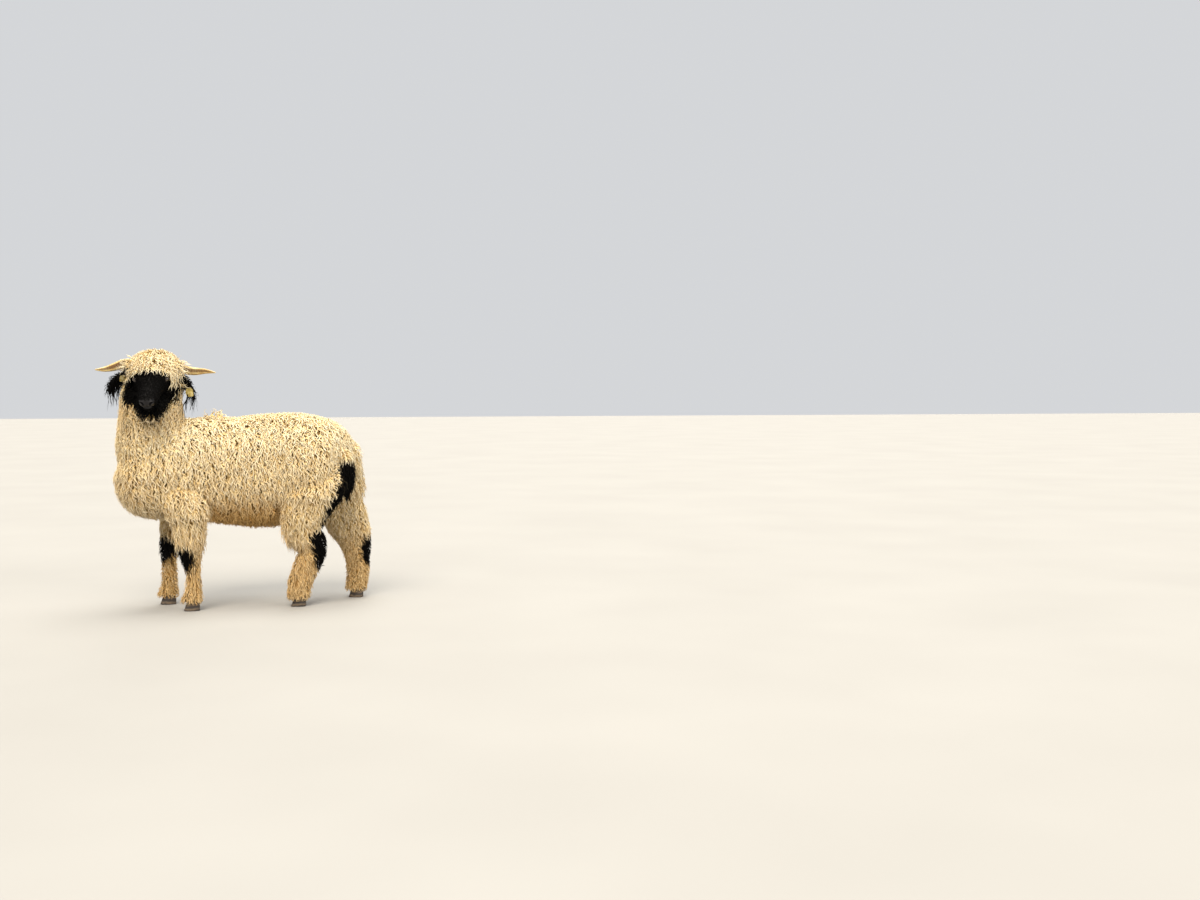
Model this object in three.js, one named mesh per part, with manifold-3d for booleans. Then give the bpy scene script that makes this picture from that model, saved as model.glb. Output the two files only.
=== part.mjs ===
// A life-size Valais Blacknose ewe, standing with her body side-on and her head turned to her left.
// Millimetres, +Z up. She faces -X, her left side is towards -Y, and the soles of her hooves are at z = 0.
// The wool is a core that reaches half of the coat's depth, with rounded clumps set close on it.

import * as THREE from "three";
import { mergeVertices } from "three/addons/utils/BufferGeometryUtils.js";
import Module from "manifold-3d";

const wasm = await Module();
wasm.setup();
const { Manifold, Mesh } = wasm;

// Driving sizes
const WITHERS = 783; // top of the fleece over the shoulders
const TRUNK_LENGTH = 902; // breast to tail head along X, over the fleece
const RUMP_X = 424;
const BARREL_HALF = 208; // half the width of the barrel over the fleece
const FLEECE = 60; // depth of the fleece on the trunk and neck
const LEG_WOOL = 34;
const CROWN_WOOL = 52;
const HOOF_HEIGHT = 38;
const GAP = 0.3; // left between pieces that touch
const SPINE_BOW = { front: 0.0005, rear: 0.00095 }; // the spine bends to her left at both ends
const SPINE_MID = new THREE.Vector2(40, 52); // where the bow is furthest from her left side

// Axes
const UP = new THREE.Vector3(0, 0, 1);
const FORWARD = new THREE.Vector3(-1, 0, 0);

// The head's own frame: its axis runs from the poll to the nose
const HEAD_TURN = THREE.MathUtils.degToRad(5); // away from straight out to her left
const HEAD_PITCH = THREE.MathUtils.degToRad(26); // nose below the poll
const HEAD_TILT = THREE.MathUtils.degToRad(1.5);
const POLL = new THREE.Vector3(-328, -62, 950);

// Seeded random numbers, so that each build is the same
function randomSource(seed) {
  let state = seed;
  return () => {
    state = (Math.imul(state, 1664525) + 1013904223) >>> 0;
    return state / 4294967296;
  };
}

// A closed three.js geometry as a solid
function solidOf(geometry) {
  const plain = geometry.clone();
  plain.deleteAttribute("normal");
  plain.deleteAttribute("uv");
  const merged = mergeVertices(plain, 1e-4);
  const corners = merged.index.array;
  const kept = [];
  for (let i = 0; i < corners.length; i += 3) {
    const [a, b, c] = corners.slice(i, i + 3);
    if (a !== b && b !== c && a !== c) kept.push(a, b, c);
  }
  return new Manifold(
    new Mesh({
      numProp: 3,
      vertProperties: merged.attributes.position.array,
      triVerts: new Uint32Array(kept),
    }),
  );
}

// A solid as a three.js geometry
function geometryOf(solid) {
  const mesh = solid.getMesh();
  const geometry = new THREE.BufferGeometry();
  geometry.setAttribute("position", new THREE.BufferAttribute(mesh.vertProperties, 3));
  geometry.setIndex(new THREE.BufferAttribute(mesh.triVerts, 1));
  geometry.computeVertexNormals();
  return geometry;
}

const fuse = (solids) => Manifold.union(solids);

// The largest closed surface of a solid, which fills sealed hollows and drops scraps
function largest(solid) {
  let best = null;
  for (const piece of solid.decompose()) {
    if (!best || piece.volume() > best.volume()) best = piece;
  }
  return best;
}

// Moves every vertex of a geometry
function reshape(geometry, move) {
  const place = geometry.attributes.position;
  const turn = geometry.attributes.uv;
  const point = new THREE.Vector3();
  for (let i = 0; i < place.count; i += 1) {
    point.fromBufferAttribute(place, i);
    const moved = move(point, turn.getX(i), turn.getY(i));
    place.setXYZ(i, moved.x, moved.y, moved.z);
  }
  return geometry;
}

const rounded = (value, power) => Math.sign(value) * Math.abs(value) ** (2 / power);

// A closed body lofted through stations [x, y, z, half across, rise, drop]; grow makes it thicker all round
function loft(stations, options) {
  const { sides, rows, up = UP, power = 2, grow = 0, section = null, level = false } = options;
  const centres = new THREE.CatmullRomCurve3(
    stations.map(([x, y, z]) => new THREE.Vector3(x, y, z)),
  );
  const sizes = new THREE.CatmullRomCurve3(
    stations.map(([, , , across, rise, drop]) => new THREE.Vector3(across, rise, drop ?? rise)),
  );
  const rings = [];
  for (let row = 0; row <= rows; row += 1) {
    const t = row / rows;
    const tangent = centres.getTangent(t);
    if (level) tangent.setZ(0).normalize();
    const across = new THREE.Vector3().crossVectors(up, tangent).normalize();
    const rise = new THREE.Vector3().crossVectors(tangent, across);
    const end = row === 0 ? -1 : row === rows ? 1 : 0;
    const centre = centres.getPoint(t).addScaledVector(tangent, end * grow);
    rings.push({ t, centre, across, rise, size: sizes.getPoint(t), pole: end !== 0 });
  }
  return reshape(new THREE.SphereGeometry(1, sides, rows), (point, u, v) => {
    const ring = rings[Math.round((1 - v) * rows)];
    if (ring.pole) return ring.centre;
    const c = rounded(-Math.cos(u * 2 * Math.PI), power);
    const s = rounded(Math.sin(u * 2 * Math.PI), power);
    const scale = section ? section(ring.t, c, s) : [1, 1];
    const half = Math.max(1, ring.size.x + grow) * scale[0];
    const height = Math.max(1, (s > 0 ? ring.size.y : ring.size.z) + grow) * scale[1];
    return ring.centre
      .clone()
      .addScaledVector(ring.across, c * half)
      .addScaledVector(ring.rise, s * height);
  });
}

// Everything on one side of a plane, kept back from it by offset
function halfSpace(point, normal, offset) {
  const reach = 4000;
  const box = new THREE.BoxGeometry(reach, reach, reach);
  box.translate(0, 0, reach / 2 + offset);
  box.applyQuaternion(new THREE.Quaternion().setFromUnitVectors(UP, normal));
  box.translate(point.x, point.y, point.z);
  return solidOf(box);
}

// Places in the head's frame: along the nose, to her left, and up
const headFrame = (() => {
  const along = new THREE.Vector3(
    -Math.sin(HEAD_TURN) * Math.cos(HEAD_PITCH),
    -Math.cos(HEAD_TURN) * Math.cos(HEAD_PITCH),
    -Math.sin(HEAD_PITCH),
  );
  const left = new THREE.Vector3().crossVectors(UP, along).normalize();
  left.applyAxisAngle(along, HEAD_TILT);
  const up = new THREE.Vector3().crossVectors(along, left);
  return { along, left, up };
})();

function onHead(a, l, u) {
  return POLL.clone()
    .addScaledVector(headFrame.along, a)
    .addScaledVector(headFrame.left, l)
    .addScaledVector(headFrame.up, u);
}

function headDirection(a, l, u) {
  return onHead(a, l, u).sub(POLL).normalize();
}

// Trunk: share of the length from the rump, top and bottom as shares of the withers' height,
// and width as a share of the barrel's
const TRUNK = [
  [0.0, 0.77, 0.7, 0.1],
  [0.006, 0.865, 0.62, 0.54],
  [0.022, 0.935, 0.56, 0.76],
  [0.058, 0.975, 0.51, 0.87],
  [0.12, 1.0, 0.465, 0.93],
  [0.22, 1.014, 0.42, 0.96],
  [0.35, 1.007, 0.4, 1.0],
  [0.5, 0.991, 0.413, 0.98],
  [0.65, 0.992, 0.434, 0.92],
  [0.79, 0.98, 0.455, 0.85],
  [0.89, 0.92, 0.475, 0.76],
  [0.95, 0.86, 0.505, 0.62],
  [0.985, 0.8, 0.555, 0.42],
  [1.0, 0.725, 0.62, 0.1],
];

function spineY(x) {
  const bow = x < SPINE_MID.x ? SPINE_BOW.front : SPINE_BOW.rear;
  return SPINE_MID.y - bow * (x - SPINE_MID.x) ** 2;
}

function trunkStations(inset) {
  return TRUNK.map(([share, top, bottom, width]) => {
    const x = RUMP_X - inset - share * (TRUNK_LENGTH - 2 * inset);
    const middle = ((top + bottom) / 2) * WITHERS;
    const half = ((top - bottom) / 2) * WITHERS - inset;
    return [x, spineY(x), middle, Math.max(BARREL_HALF * width - inset, 6), Math.max(half, 6)];
  });
}

// Neck: centre, half across and half deep, over the fleece
const NECK = [
  [-200, 20, 560, 90, 90],
  [-285, 8, 600, 160, 156],
  [-330, -6, 660, 158, 154],
  [-344, -26, 745, 133, 138],
  [-343, -46, 830, 123, 126],
  [-340, -58, 900, 118, 112],
  [-338, -62, 950, 98, 90],
  [-336, -64, 992, 30, 26],
];

// Legs: joints from top to floor as [x, y, z, half across, half fore and aft], over the wool
const FORELEG = {
  shoulder: [52, 92],
  elbow: [62, 80],
  forearm: [54, 64],
  knee: [43, 46],
  cannon: [33, 31],
  fetlock: [33, 35],
  coronet: [27, 31],
};
const FORELEG_FAR = { ...FORELEG, elbow: [62, 70], forearm: [52, 52], knee: [40, 37] };
const HINDLEG = {
  hip: [60, 100],
  thigh: [72, 118],
  stifle: [66, 100],
  gaskin: [54, 80],
  hock: [45, 61],
  cannon: [42, 54],
  fetlock: [41, 50],
  coronet: [27, 33],
};
const HINDLEG_FAR = { ...HINDLEG, pin: [56, 84], stifle: [66, 104], gaskin: [54, 92], hock: [46, 74] };
const LEGS = {
  foreleg_left: {
    sizes: FORELEG,
    side: 1,
    turn: -8,
    joints: {
      shoulder: [-262, -92, 520],
      elbow: [-212, -116, 420],
      forearm: [-200, -116, 330],
      knee: [-198, -110, 238],
      cannon: [-190, -108, 160],
      fetlock: [-190, -107, 88],
      coronet: [-196, -107, HOOF_HEIGHT],
    },
  },
  foreleg_right: {
    sizes: FORELEG_FAR,
    side: -1,
    turn: -14,
    joints: {
      shoulder: [-285, 88, 520],
      elbow: [-262, 104, 420],
      forearm: [-274, 100, 330],
      knee: [-290, 94, 238],
      cannon: [-290, 92, 160],
      fetlock: [-290, 91, 88],
      coronet: [-296, 91, HOOF_HEIGHT],
    },
  },
  hindleg_left: {
    sizes: HINDLEG,
    side: 1,
    turn: 6,
    joints: {
      hip: [330, -78, 560],
      thigh: [286, -108, 480],
      stifle: [250, -118, 400],
      gaskin: [240, -112, 320],
      hock: [279, -104, 243],
      cannon: [254, -102, 163],
      fetlock: [229, -102, 95],
      coronet: [222, -102, HOOF_HEIGHT],
    },
  },
  hindleg_right: {
    sizes: HINDLEG_FAR,
    side: -1,
    turn: 14,
    joints: {
      pin: [394, 50, 640],
      hip: [394, 72, 560],
      thigh: [386, 96, 490],
      stifle: [404, 104, 410],
      gaskin: [438, 98, 325],
      hock: [466, 92, 250],
      cannon: [478, 90, 165],
      fetlock: [477, 90, 92],
      coronet: [470, 90, HOOF_HEIGHT],
    },
  },
};

// Each leg turns a little about the vertical, as the body bends over it
function legForward({ turn }) {
  return FORWARD.clone().applyAxisAngle(UP, THREE.MathUtils.degToRad(-turn));
}

function legStations(leg, inset, below) {
  const names = Object.keys(leg.joints);
  const rows = names.map((name) => {
    const [across, deep] = leg.sizes[name];
    const shrink = name === "coronet" ? inset * 0.25 : inset;
    return [...leg.joints[name], across - shrink, deep - shrink];
  });
  const [x, y, z] = rows[0];
  const [endX, endY, , endAcross, endDeep] = rows[rows.length - 1];
  return [
    [x, y, z + 40, 20, 20],
    ...rows,
    [endX, endY, below + 6, endAcross * 0.9, endDeep * 0.9],
    [endX, endY, below, 10, 10],
  ];
}

// Head without its wool: [along, half across, rise, drop] about a line through the skull
const SKULL = [
  [-22, 20, 22, 22],
  [-8, 46, 44, 50],
  [22, 60, 56, 74],
  [58, 68, 60, 82],
  [92, 68, 56, 74],
  [124, 54, 43, 60],
  [160, 45, 35, 54],
  [196, 41, 32, 50],
  [226, 40, 27, 46],
  [243, 31, 17, 34],
  [250, 12, 7, 10],
];
const SKULL_DIP = -6; // the nose end of that line is lower
const JAW_TAPER = 0.42;

function skullStations(inset) {
  const nose = SKULL[SKULL.length - 1][0];
  return SKULL.map(([a, across, rise, drop]) => {
    const middle = onHead(a, 0, (SKULL_DIP * a) / nose);
    return [middle.x, middle.y, middle.z, across - inset, rise - inset, drop - inset];
  });
}

function skull(grow) {
  const section = (t, c, s) => [1 - JAW_TAPER * Math.max(0, -s) ** 1.6, 1];
  const { up } = headFrame;
  return solidOf(loft(skullStations(0), { sides: 20, rows: 16, up, power: 2.15, grow, section }));
}

// The wool on the poll and forehead: [along, up, half across, half deep], over the wool
const CROWN = [
  [-90, -12, 30, 30],
  [-66, -4, 88, 72],
  [-22, 4, 104, 88],
  [28, 14, 102, 80],
  [66, 24, 84, 66],
  [90, 32, 58, 44],
  [100, 34, 20, 16],
];

function crownStations(inset) {
  return CROWN.map(([a, u, across, deep]) => {
    const place = onHead(a, 0, u);
    return [place.x, place.y, place.z, across - inset, deep - inset];
  });
}

// Eyes, in the head's frame
const EYE_RADIUS = 13;
const EYE_PLACE = [92, 56, 20];
const GAZE = [0.5, 0.84, 0.12];
const LID = { shell: 3, length: 27, height: 15, droop: 0.28 };

function eyePlace(side) {
  return onHead(EYE_PLACE[0], side * EYE_PLACE[1], EYE_PLACE[2]);
}

function ball(centre, radius, sides, rows) {
  const geometry = new THREE.SphereGeometry(radius, sides, rows);
  geometry.translate(centre.x, centre.y, centre.z);
  return solidOf(geometry);
}

// Turns a geometry made about the origin, with Z outwards and X along the head, to a place on the head
function setOnHead(geometry, place, outward) {
  const out = headDirection(...outward);
  const along = headFrame.along.clone().projectOnPlane(out).normalize();
  const across = new THREE.Vector3().crossVectors(out, along);
  const basis = new THREE.Matrix4().makeBasis(along, across, out).setPosition(place);
  return geometry.applyMatrix4(basis);
}

function lidShell(side) {
  return ball(eyePlace(side), EYE_RADIUS + LID.shell, 14, 8);
}

// The almond opening between the lids
function lidOpening(side) {
  const half = LID.length / 2;
  const almond = new THREE.Shape();
  almond.moveTo(-half, -side * LID.droop * LID.height * 0.5);
  almond.quadraticCurveTo(0, LID.height, half, side * LID.droop * LID.height * 0.5);
  almond.quadraticCurveTo(0, -LID.height, -half, -side * LID.droop * LID.height * 0.5);
  const geometry = new THREE.ExtrudeGeometry(almond, {
    depth: 40,
    bevelEnabled: false,
    curveSegments: 6,
  });
  return solidOf(setOnHead(geometry, eyePlace(side), [GAZE[0], side * GAZE[1], GAZE[2]]));
}

// Nostrils are slanting commas on the front of the muzzle
const NOSTRIL = { along: 240, left: 15, up: -11, long: 10, wide: 3.6, deep: 9, slant: 0.75 };

function nostril(side) {
  const geometry = new THREE.SphereGeometry(1, 8, 5);
  geometry.scale(NOSTRIL.wide, NOSTRIL.long, NOSTRIL.deep);
  geometry.rotateZ(-side * NOSTRIL.slant);
  const turn = new THREE.Matrix4().makeBasis(headFrame.left, headFrame.up, headFrame.along);
  geometry.applyMatrix4(turn);
  const place = onHead(NOSTRIL.along, side * NOSTRIL.left, NOSTRIL.up);
  return solidOf(geometry.translate(place.x, place.y, place.z));
}

// The mouth is a shallow groove between the lips, cut no deeper than its own size
const MOUTH = { front: -27, corner: 178, drop: 8, high: 3, deep: 5 };

function mouthGroove() {
  const length = 120;
  const slab = new THREE.BoxGeometry(length, 160, MOUTH.high, 10, 1, 1);
  slab.translate(length / 2 + MOUTH.corner, 0, 0);
  const place = slab.attributes.position;
  for (let i = 0; i < place.count; i += 1) {
    const share = (place.getX(i) - MOUTH.corner) / length;
    place.setZ(i, place.getZ(i) + MOUTH.front - MOUTH.drop * (1 - share) ** 2);
  }
  const turn = new THREE.Matrix4().makeBasis(headFrame.along, headFrame.left, headFrame.up);
  slab.applyMatrix4(turn.setPosition(POLL));
  return solidOf(slab).subtract(skull(-MOUTH.deep));
}

// The lips and the chin stand a little proud of the muzzle
function lips() {
  const solids = [];
  for (const [along, up, across, deep, high] of [
    [228, -20, 33, 22, 9],
    [218, -38, 26, 22, 11],
  ]) {
    const geometry = new THREE.SphereGeometry(1, 12, 6);
    geometry.scale(deep, across, high);
    const turn = new THREE.Matrix4().makeBasis(headFrame.along, headFrame.left, headFrame.up);
    geometry.applyMatrix4(turn.setPosition(onHead(along, 0, up)));
    solids.push(solidOf(geometry));
  }
  return solids;
}

// The black wool that hangs from the cheeks and under the jaw: [along, up, half across, half deep]
const BEARD = [
  [70, -40, 30, 30],
  [92, -46, 72, 52],
  [130, -52, 70, 52],
  [170, -58, 56, 46],
  [204, -60, 42, 38],
  [224, -60, 14, 14],
];

function beard(grow) {
  const stations = BEARD.map(([a, u, across, deep]) => {
    const place = onHead(a, 0, u);
    return [place.x, place.y, place.z, across, deep];
  });
  return solidOf(loft(stations, { sides: 16, rows: 8, up: headFrame.up, grow }));
}

// The bone over each eye
function brow(side) {
  const geometry = new THREE.SphereGeometry(1, 10, 6);
  geometry.scale(24, 10, 9);
  setOnHead(geometry, onHead(86, side * 54, 33), [0.1, side * 0.75, 0.66]);
  return solidOf(geometry);
}

// Horns: centrelines as [along, out to the side, up, half wide, half thick]; the left one sits lower
const HORNS = {
  right: [
    [16, 20, 34, 17, 13],
    [12, 50, 44, 20, 15],
    [4, 81, 46, 20, 14],
    [-4, 116, 42, 19, 13],
    [0, 150, 32, 16.5, 11],
    [14, 182, 30, 11, 7.5],
    [26, 203, 34, 6, 4.5],
    [34, 217, 38, 2, 2],
  ],
  left: [
    [16, 20, 30, 17, 13],
    [12, 50, 34, 20, 15],
    [4, 86, 24, 20, 14],
    [-4, 122, 10, 19, 13],
    [0, 158, 6, 16, 11],
    [14, 196, 12, 11, 7.5],
    [26, 222, 14, 6, 4.5],
    [34, 240, 14, 2, 2],
  ],
};
const HORN_RINGS = 11;

function horn(side, grow) {
  const stations = HORNS[side > 0 ? "left" : "right"].map(([a, l, u, wide, thick]) => {
    const place = onHead(a, side * l, u);
    return [place.x, place.y, place.z, thick, wide];
  });
  const section = (t, c, s) => {
    const ring = 1 + 0.035 * Math.cos(t * HORN_RINGS * 2 * Math.PI) * (1 - t);
    const front = Math.max(0, side > 0 ? -c : c);
    const groove = 1 - 0.28 * front ** 6 * (1 - t * 0.4);
    return [ring * groove, ring];
  };
  const { up } = headFrame;
  return solidOf(loft(stations, { sides: 10, rows: 20, up, power: 2.1, grow, section }));
}

// Ears: the centreline for each side as [along, left, up], and the way that the cup faces
const EARS = {
  left: {
    side: 1,
    line: [
      [14, 52, 2],
      [16, 86, -8],
      [20, 118, -34],
      [28, 136, -70],
      [36, 142, -104],
    ],
    locks: [
      [0.52, -1, 32],
      [0.68, -1, 42],
      [0.78, 1, 36],
      [0.84, -1, 46],
      [0.92, 0.6, 52],
      [0.98, -0.2, 62],
    ],
  },
  right: {
    side: -1,
    line: [
      [14, 52, 14],
      [16, 88, 12],
      [20, 128, -4],
      [26, 160, -32],
      [32, 180, -68],
    ],
    locks: [
      [0.42, -1, 62],
      [0.53, -1, 46],
      [0.66, -1, 66],
      [0.8, 1, 34],
      [0.86, -0.8, 46],
      [0.98, 0, 42],
    ],
  },
};
const EAR = { half: 31, thick: 4.2, cup: 17, rows: 9, sides: 12 };

function earFrame(ear, t) {
  const line = new THREE.CatmullRomCurve3(ear.line.map(([a, l, u]) => onHead(a, ear.side * l, u)));
  const tangent = line.getTangent(t);
  const face = headDirection(0.9, 0, -0.35).projectOnPlane(tangent).normalize();
  const width = new THREE.Vector3().crossVectors(tangent, face).multiplyScalar(ear.side);
  return { centre: line.getPoint(t), tangent, face, width };
}

function earHalf(t) {
  return EAR.half * Math.sin(Math.PI * (0.12 + 0.88 * t ** 0.85)) ** 0.62 + 2;
}

// A point of the ear's middle surface, c from -1 to 1 across it, whose edges curl forward into a cup
function onEar(ear, t, c) {
  const { centre, tangent, face, width } = earFrame(ear, t);
  const curl = EAR.cup * Math.sin(Math.PI * Math.min(1, 0.25 + t * 0.75));
  const half = earHalf(t);
  const slope = Math.atan2(2 * curl * c, half);
  const along = width.clone().multiplyScalar(Math.cos(slope)).addScaledVector(face, Math.sin(slope));
  const out = face.clone().multiplyScalar(Math.cos(slope)).addScaledVector(width, -Math.sin(slope));
  const point = centre.clone().addScaledVector(width, c * half).addScaledVector(face, curl * c * c);
  return { point, tangent, along, out };
}

function earLeaf(ear, grow) {
  const geometry = new THREE.SphereGeometry(1, EAR.sides, EAR.rows);
  return solidOf(
    reshape(geometry, (point, u, v) => {
      const row = Math.round((1 - v) * EAR.rows);
      const t = row / EAR.rows;
      const pole = row === 0 || row === EAR.rows;
      const c = pole ? 0 : -Math.cos(u * 2 * Math.PI);
      const s = pole ? 0 : Math.sin(u * 2 * Math.PI);
      const end = row === 0 ? -grow : row === EAR.rows ? grow : 0;
      const place = onEar(ear, t, ear.side * c);
      return place.point
        .addScaledVector(place.tangent, end)
        .addScaledVector(place.along, ear.side * c * grow)
        .addScaledVector(place.out, -s * (EAR.thick * (1.7 - 0.7 * t) + grow));
    }),
  );
}

// A flat, tapered lock from a root, along a direction, which bends towards straight down
function lock(root, direction, length, width, grow) {
  const geometry = new THREE.SphereGeometry(1, 5, 4);
  const flat = new THREE.Vector3().crossVectors(direction, headFrame.along).normalize();
  const thin = new THREE.Vector3().crossVectors(flat, direction).normalize();
  return solidOf(
    reshape(geometry, (point, u, v) => {
      const t = 1 - v;
      const body = Math.sin(Math.PI * Math.min(1, t * 0.8 + 0.14)) ** 0.8;
      const centre = root
        .clone()
        .addScaledVector(direction, length * t * (1 - 0.45 * t))
        .addScaledVector(UP, -length * 0.45 * t * t);
      const pole = v === 0 || v === 1;
      const c = pole ? 0 : -Math.cos(u * 2 * Math.PI) * (width * body + grow);
      const s = pole ? 0 : Math.sin(u * 2 * Math.PI) * (width * 0.6 * body + grow);
      const end = v === 1 ? -grow : v === 0 ? grow : 0;
      return centre.addScaledVector(flat, -c).addScaledVector(thin, s).addScaledVector(direction, end);
    }),
  );
}

function ear(shape, grow) {
  const pieces = [earLeaf(shape, grow)];
  shape.locks.forEach(([t, edge, length], index) => {
    const { point, tangent, along } = onEar(shape, t, edge * (1 - 7 / earHalf(t)));
    const direction = tangent.clone().multiplyScalar(0.6);
    direction.addScaledVector(along, edge * 0.35).addScaledVector(UP, -0.7).normalize();
    pieces.push(lock(point, direction, length, 7.5 + (index % 3), grow));
  });
  return largest(fuse(pieces));
}

// Ear tags: a plain plate on the front of the ear, a stem through it and a button behind
const TAG = { at: { left: 0.7, right: 0.42 }, width: 30, height: 36, thick: 2, stem: 2.6, button: 8, hang: 8 };

function tag(shape, grow) {
  const frame = earFrame(shape, shape.side > 0 ? TAG.at.left : TAG.at.right);
  const front = EAR.thick * 1.45 + 1;
  const outline = new THREE.Shape();
  const half = TAG.width / 2 + grow;
  const tall = TAG.height / 2 + grow;
  outline.moveTo(-half * 0.45, tall);
  outline.lineTo(half * 0.45, tall);
  outline.quadraticCurveTo(half, tall * 0.6, half, 0);
  outline.lineTo(half, -tall * 0.8);
  outline.quadraticCurveTo(half, -tall, half * 0.7, -tall);
  outline.lineTo(-half * 0.7, -tall);
  outline.quadraticCurveTo(-half, -tall, -half, -tall * 0.8);
  outline.lineTo(-half, 0);
  outline.quadraticCurveTo(-half, tall * 0.6, -half * 0.45, tall);
  const plate = new THREE.ExtrudeGeometry(outline, {
    depth: TAG.thick + 2 * grow,
    bevelEnabled: false,
    curveSegments: 3,
  });
  plate.translate(0, -TAG.hang, front - grow);
  const stem = new THREE.CylinderGeometry(TAG.stem + grow, TAG.stem + grow, 2 * front + 2, 6);
  stem.rotateX(Math.PI / 2);
  const radius = TAG.button + grow;
  const button = new THREE.CylinderGeometry(radius * 0.8, radius, TAG.thick + 2 * grow, 9);
  button.rotateX(Math.PI / 2).translate(0, 0, -front - TAG.thick / 2);
  const down = UP.clone().negate().projectOnPlane(frame.face).normalize();
  const across = new THREE.Vector3().crossVectors(down.clone().negate(), frame.face);
  const basis = new THREE.Matrix4().makeBasis(across, down.clone().negate(), frame.face);
  basis.setPosition(frame.centre);
  return fuse([plate, stem, button].map((g) => solidOf(g.applyMatrix4(basis))));
}

// Tail: a short woolly tail that hangs against the buttocks
const TAIL = [
  [378, -74, 640, 18, 18],
  [408, -94, 616, 33, 28],
  [421, -103, 565, 36, 30],
  [422, -104, 510, 33, 28],
  [416, -101, 468, 24, 22],
  [410, -99, 446, 6, 6],
];
const TAIL_FACING = new THREE.Vector3(-0.85, 0.53, 0); // from the tail into the rump

function tail(grow) {
  return solidOf(loft(TAIL, { sides: 12, rows: 9, up: TAIL_FACING, grow }));
}

// Hooves: two claws to a foot, and two dewclaws behind the pastern
const CLAW = { long: 30, wide: 11.5, apart: 12.4, top: 0.76, back: 7 };

function claw(leg, pair, grow) {
  const geometry = new THREE.CylinderGeometry(1, 1, 1, 12, 1);
  const ahead = legForward(leg);
  const across = new THREE.Vector3().crossVectors(UP, ahead);
  const [x, y] = leg.joints.coronet;
  const centre = new THREE.Vector3(x, y, 0).addScaledVector(across, pair * CLAW.apart);
  const place = geometry.attributes.position;
  for (let i = 0; i < place.count; i += 1) {
    const height = place.getY(i) + 0.5;
    const shrink = THREE.MathUtils.lerp(1, CLAW.top, height);
    const front = place.getX(i);
    const toe = front > 0 ? 1 - 0.3 * front : 1;
    const lean = front > 0 ? pair * -2.5 * front : 0;
    const point = centre
      .clone()
      .addScaledVector(ahead, front * (CLAW.long * shrink + grow) - CLAW.back * height)
      .addScaledVector(across, lean - place.getZ(i) * (CLAW.wide * toe + grow));
    place.setXYZ(i, point.x, point.y, height * (HOOF_HEIGHT + grow));
  }
  return solidOf(geometry);
}

// The wool: how wide and deep a clump is, how far apart the clumps stand, and how much they droop
const COAT = {
  trunk: { apart: 119, wide: 85, rise: FLEECE / 2, droop: 30 },
  neck: { apart: 94, wide: 67, rise: FLEECE / 2, droop: 26 },
  crown: { apart: 60, wide: 44, rise: CROWN_WOOL / 2, droop: 12 },
  thigh: { apart: 98, wide: 69, rise: 26, droop: 26 },
  leg: { apart: 80, wide: 50, rise: LEG_WOOL / 2, droop: 20 },
  shank: { apart: 71, wide: 41, rise: LEG_WOOL / 2, droop: 16 },
};

function clump({ root, normal, coat, size, lean }, grow) {
  const geometry = new THREE.SphereGeometry(1, 6, 3);
  const wide = coat.wide * size + grow;
  const sunk = coat.rise * 0.9;
  const lift = (coat.rise * size - sunk) / 2;
  const tall = lift + sunk + grow;
  const turn = new THREE.Quaternion().setFromUnitVectors(UP, normal);
  const droop = new THREE.Vector3(lean, lean * 0.3, -1).projectOnPlane(normal);
  return solidOf(
    reshape(geometry, (point) => {
      const height = (point.y + 1) / 2;
      const full = rounded(point.y, 2.8) * tall;
      const place = new THREE.Vector3(point.x * wide, point.z * -wide, full);
      place.applyQuaternion(turn);
      return place
        .add(root)
        .addScaledVector(normal, lift)
        .addScaledVector(droop, coat.droop * size * height * height);
    }),
  );
}

// Roots spread evenly over a solid's surface, with the coat that grows at each
function clumpsOver(solid, coatAt, random) {
  const geometry = geometryOf(solid);
  const place = geometry.attributes.position;
  const normals = geometry.attributes.normal;
  const corners = geometry.index.array;
  const areas = [0];
  const triangle = new THREE.Triangle();
  for (let i = 0; i < corners.length; i += 3) {
    triangle.setFromAttributeAndIndices(place, corners[i], corners[i + 1], corners[i + 2]);
    areas.push(areas[areas.length - 1] + triangle.getArea());
  }
  const total = areas[areas.length - 1];
  const roots = [];
  for (let attempt = 0; attempt < 14000; attempt += 1) {
    const wanted = random() * total;
    let low = 0;
    let high = areas.length - 1;
    while (high - low > 1) {
      const middle = (low + high) >> 1;
      if (areas[middle] <= wanted) low = middle;
      else high = middle;
    }
    const ids = [corners[low * 3], corners[low * 3 + 1], corners[low * 3 + 2]];
    let [p, q] = [random(), random()];
    if (p + q > 1) [p, q] = [1 - p, 1 - q];
    const weights = [1 - p - q, p, q];
    const root = new THREE.Vector3();
    const normal = new THREE.Vector3();
    ids.forEach((id, k) => {
      root.addScaledVector(new THREE.Vector3().fromBufferAttribute(place, id), weights[k]);
      normal.addScaledVector(new THREE.Vector3().fromBufferAttribute(normals, id), weights[k]);
    });
    normal.normalize();
    const coat = coatAt(root);
    const near = (other) => other.root.distanceTo(root) < (coat.apart + other.coat.apart) / 2;
    if (coat && !roots.some(near)) {
      roots.push({ root, normal, coat, size: 0.9 + 0.2 * random(), lean: 0.6 * random() - 0.1 });
    }
  }
  return roots;
}

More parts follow.
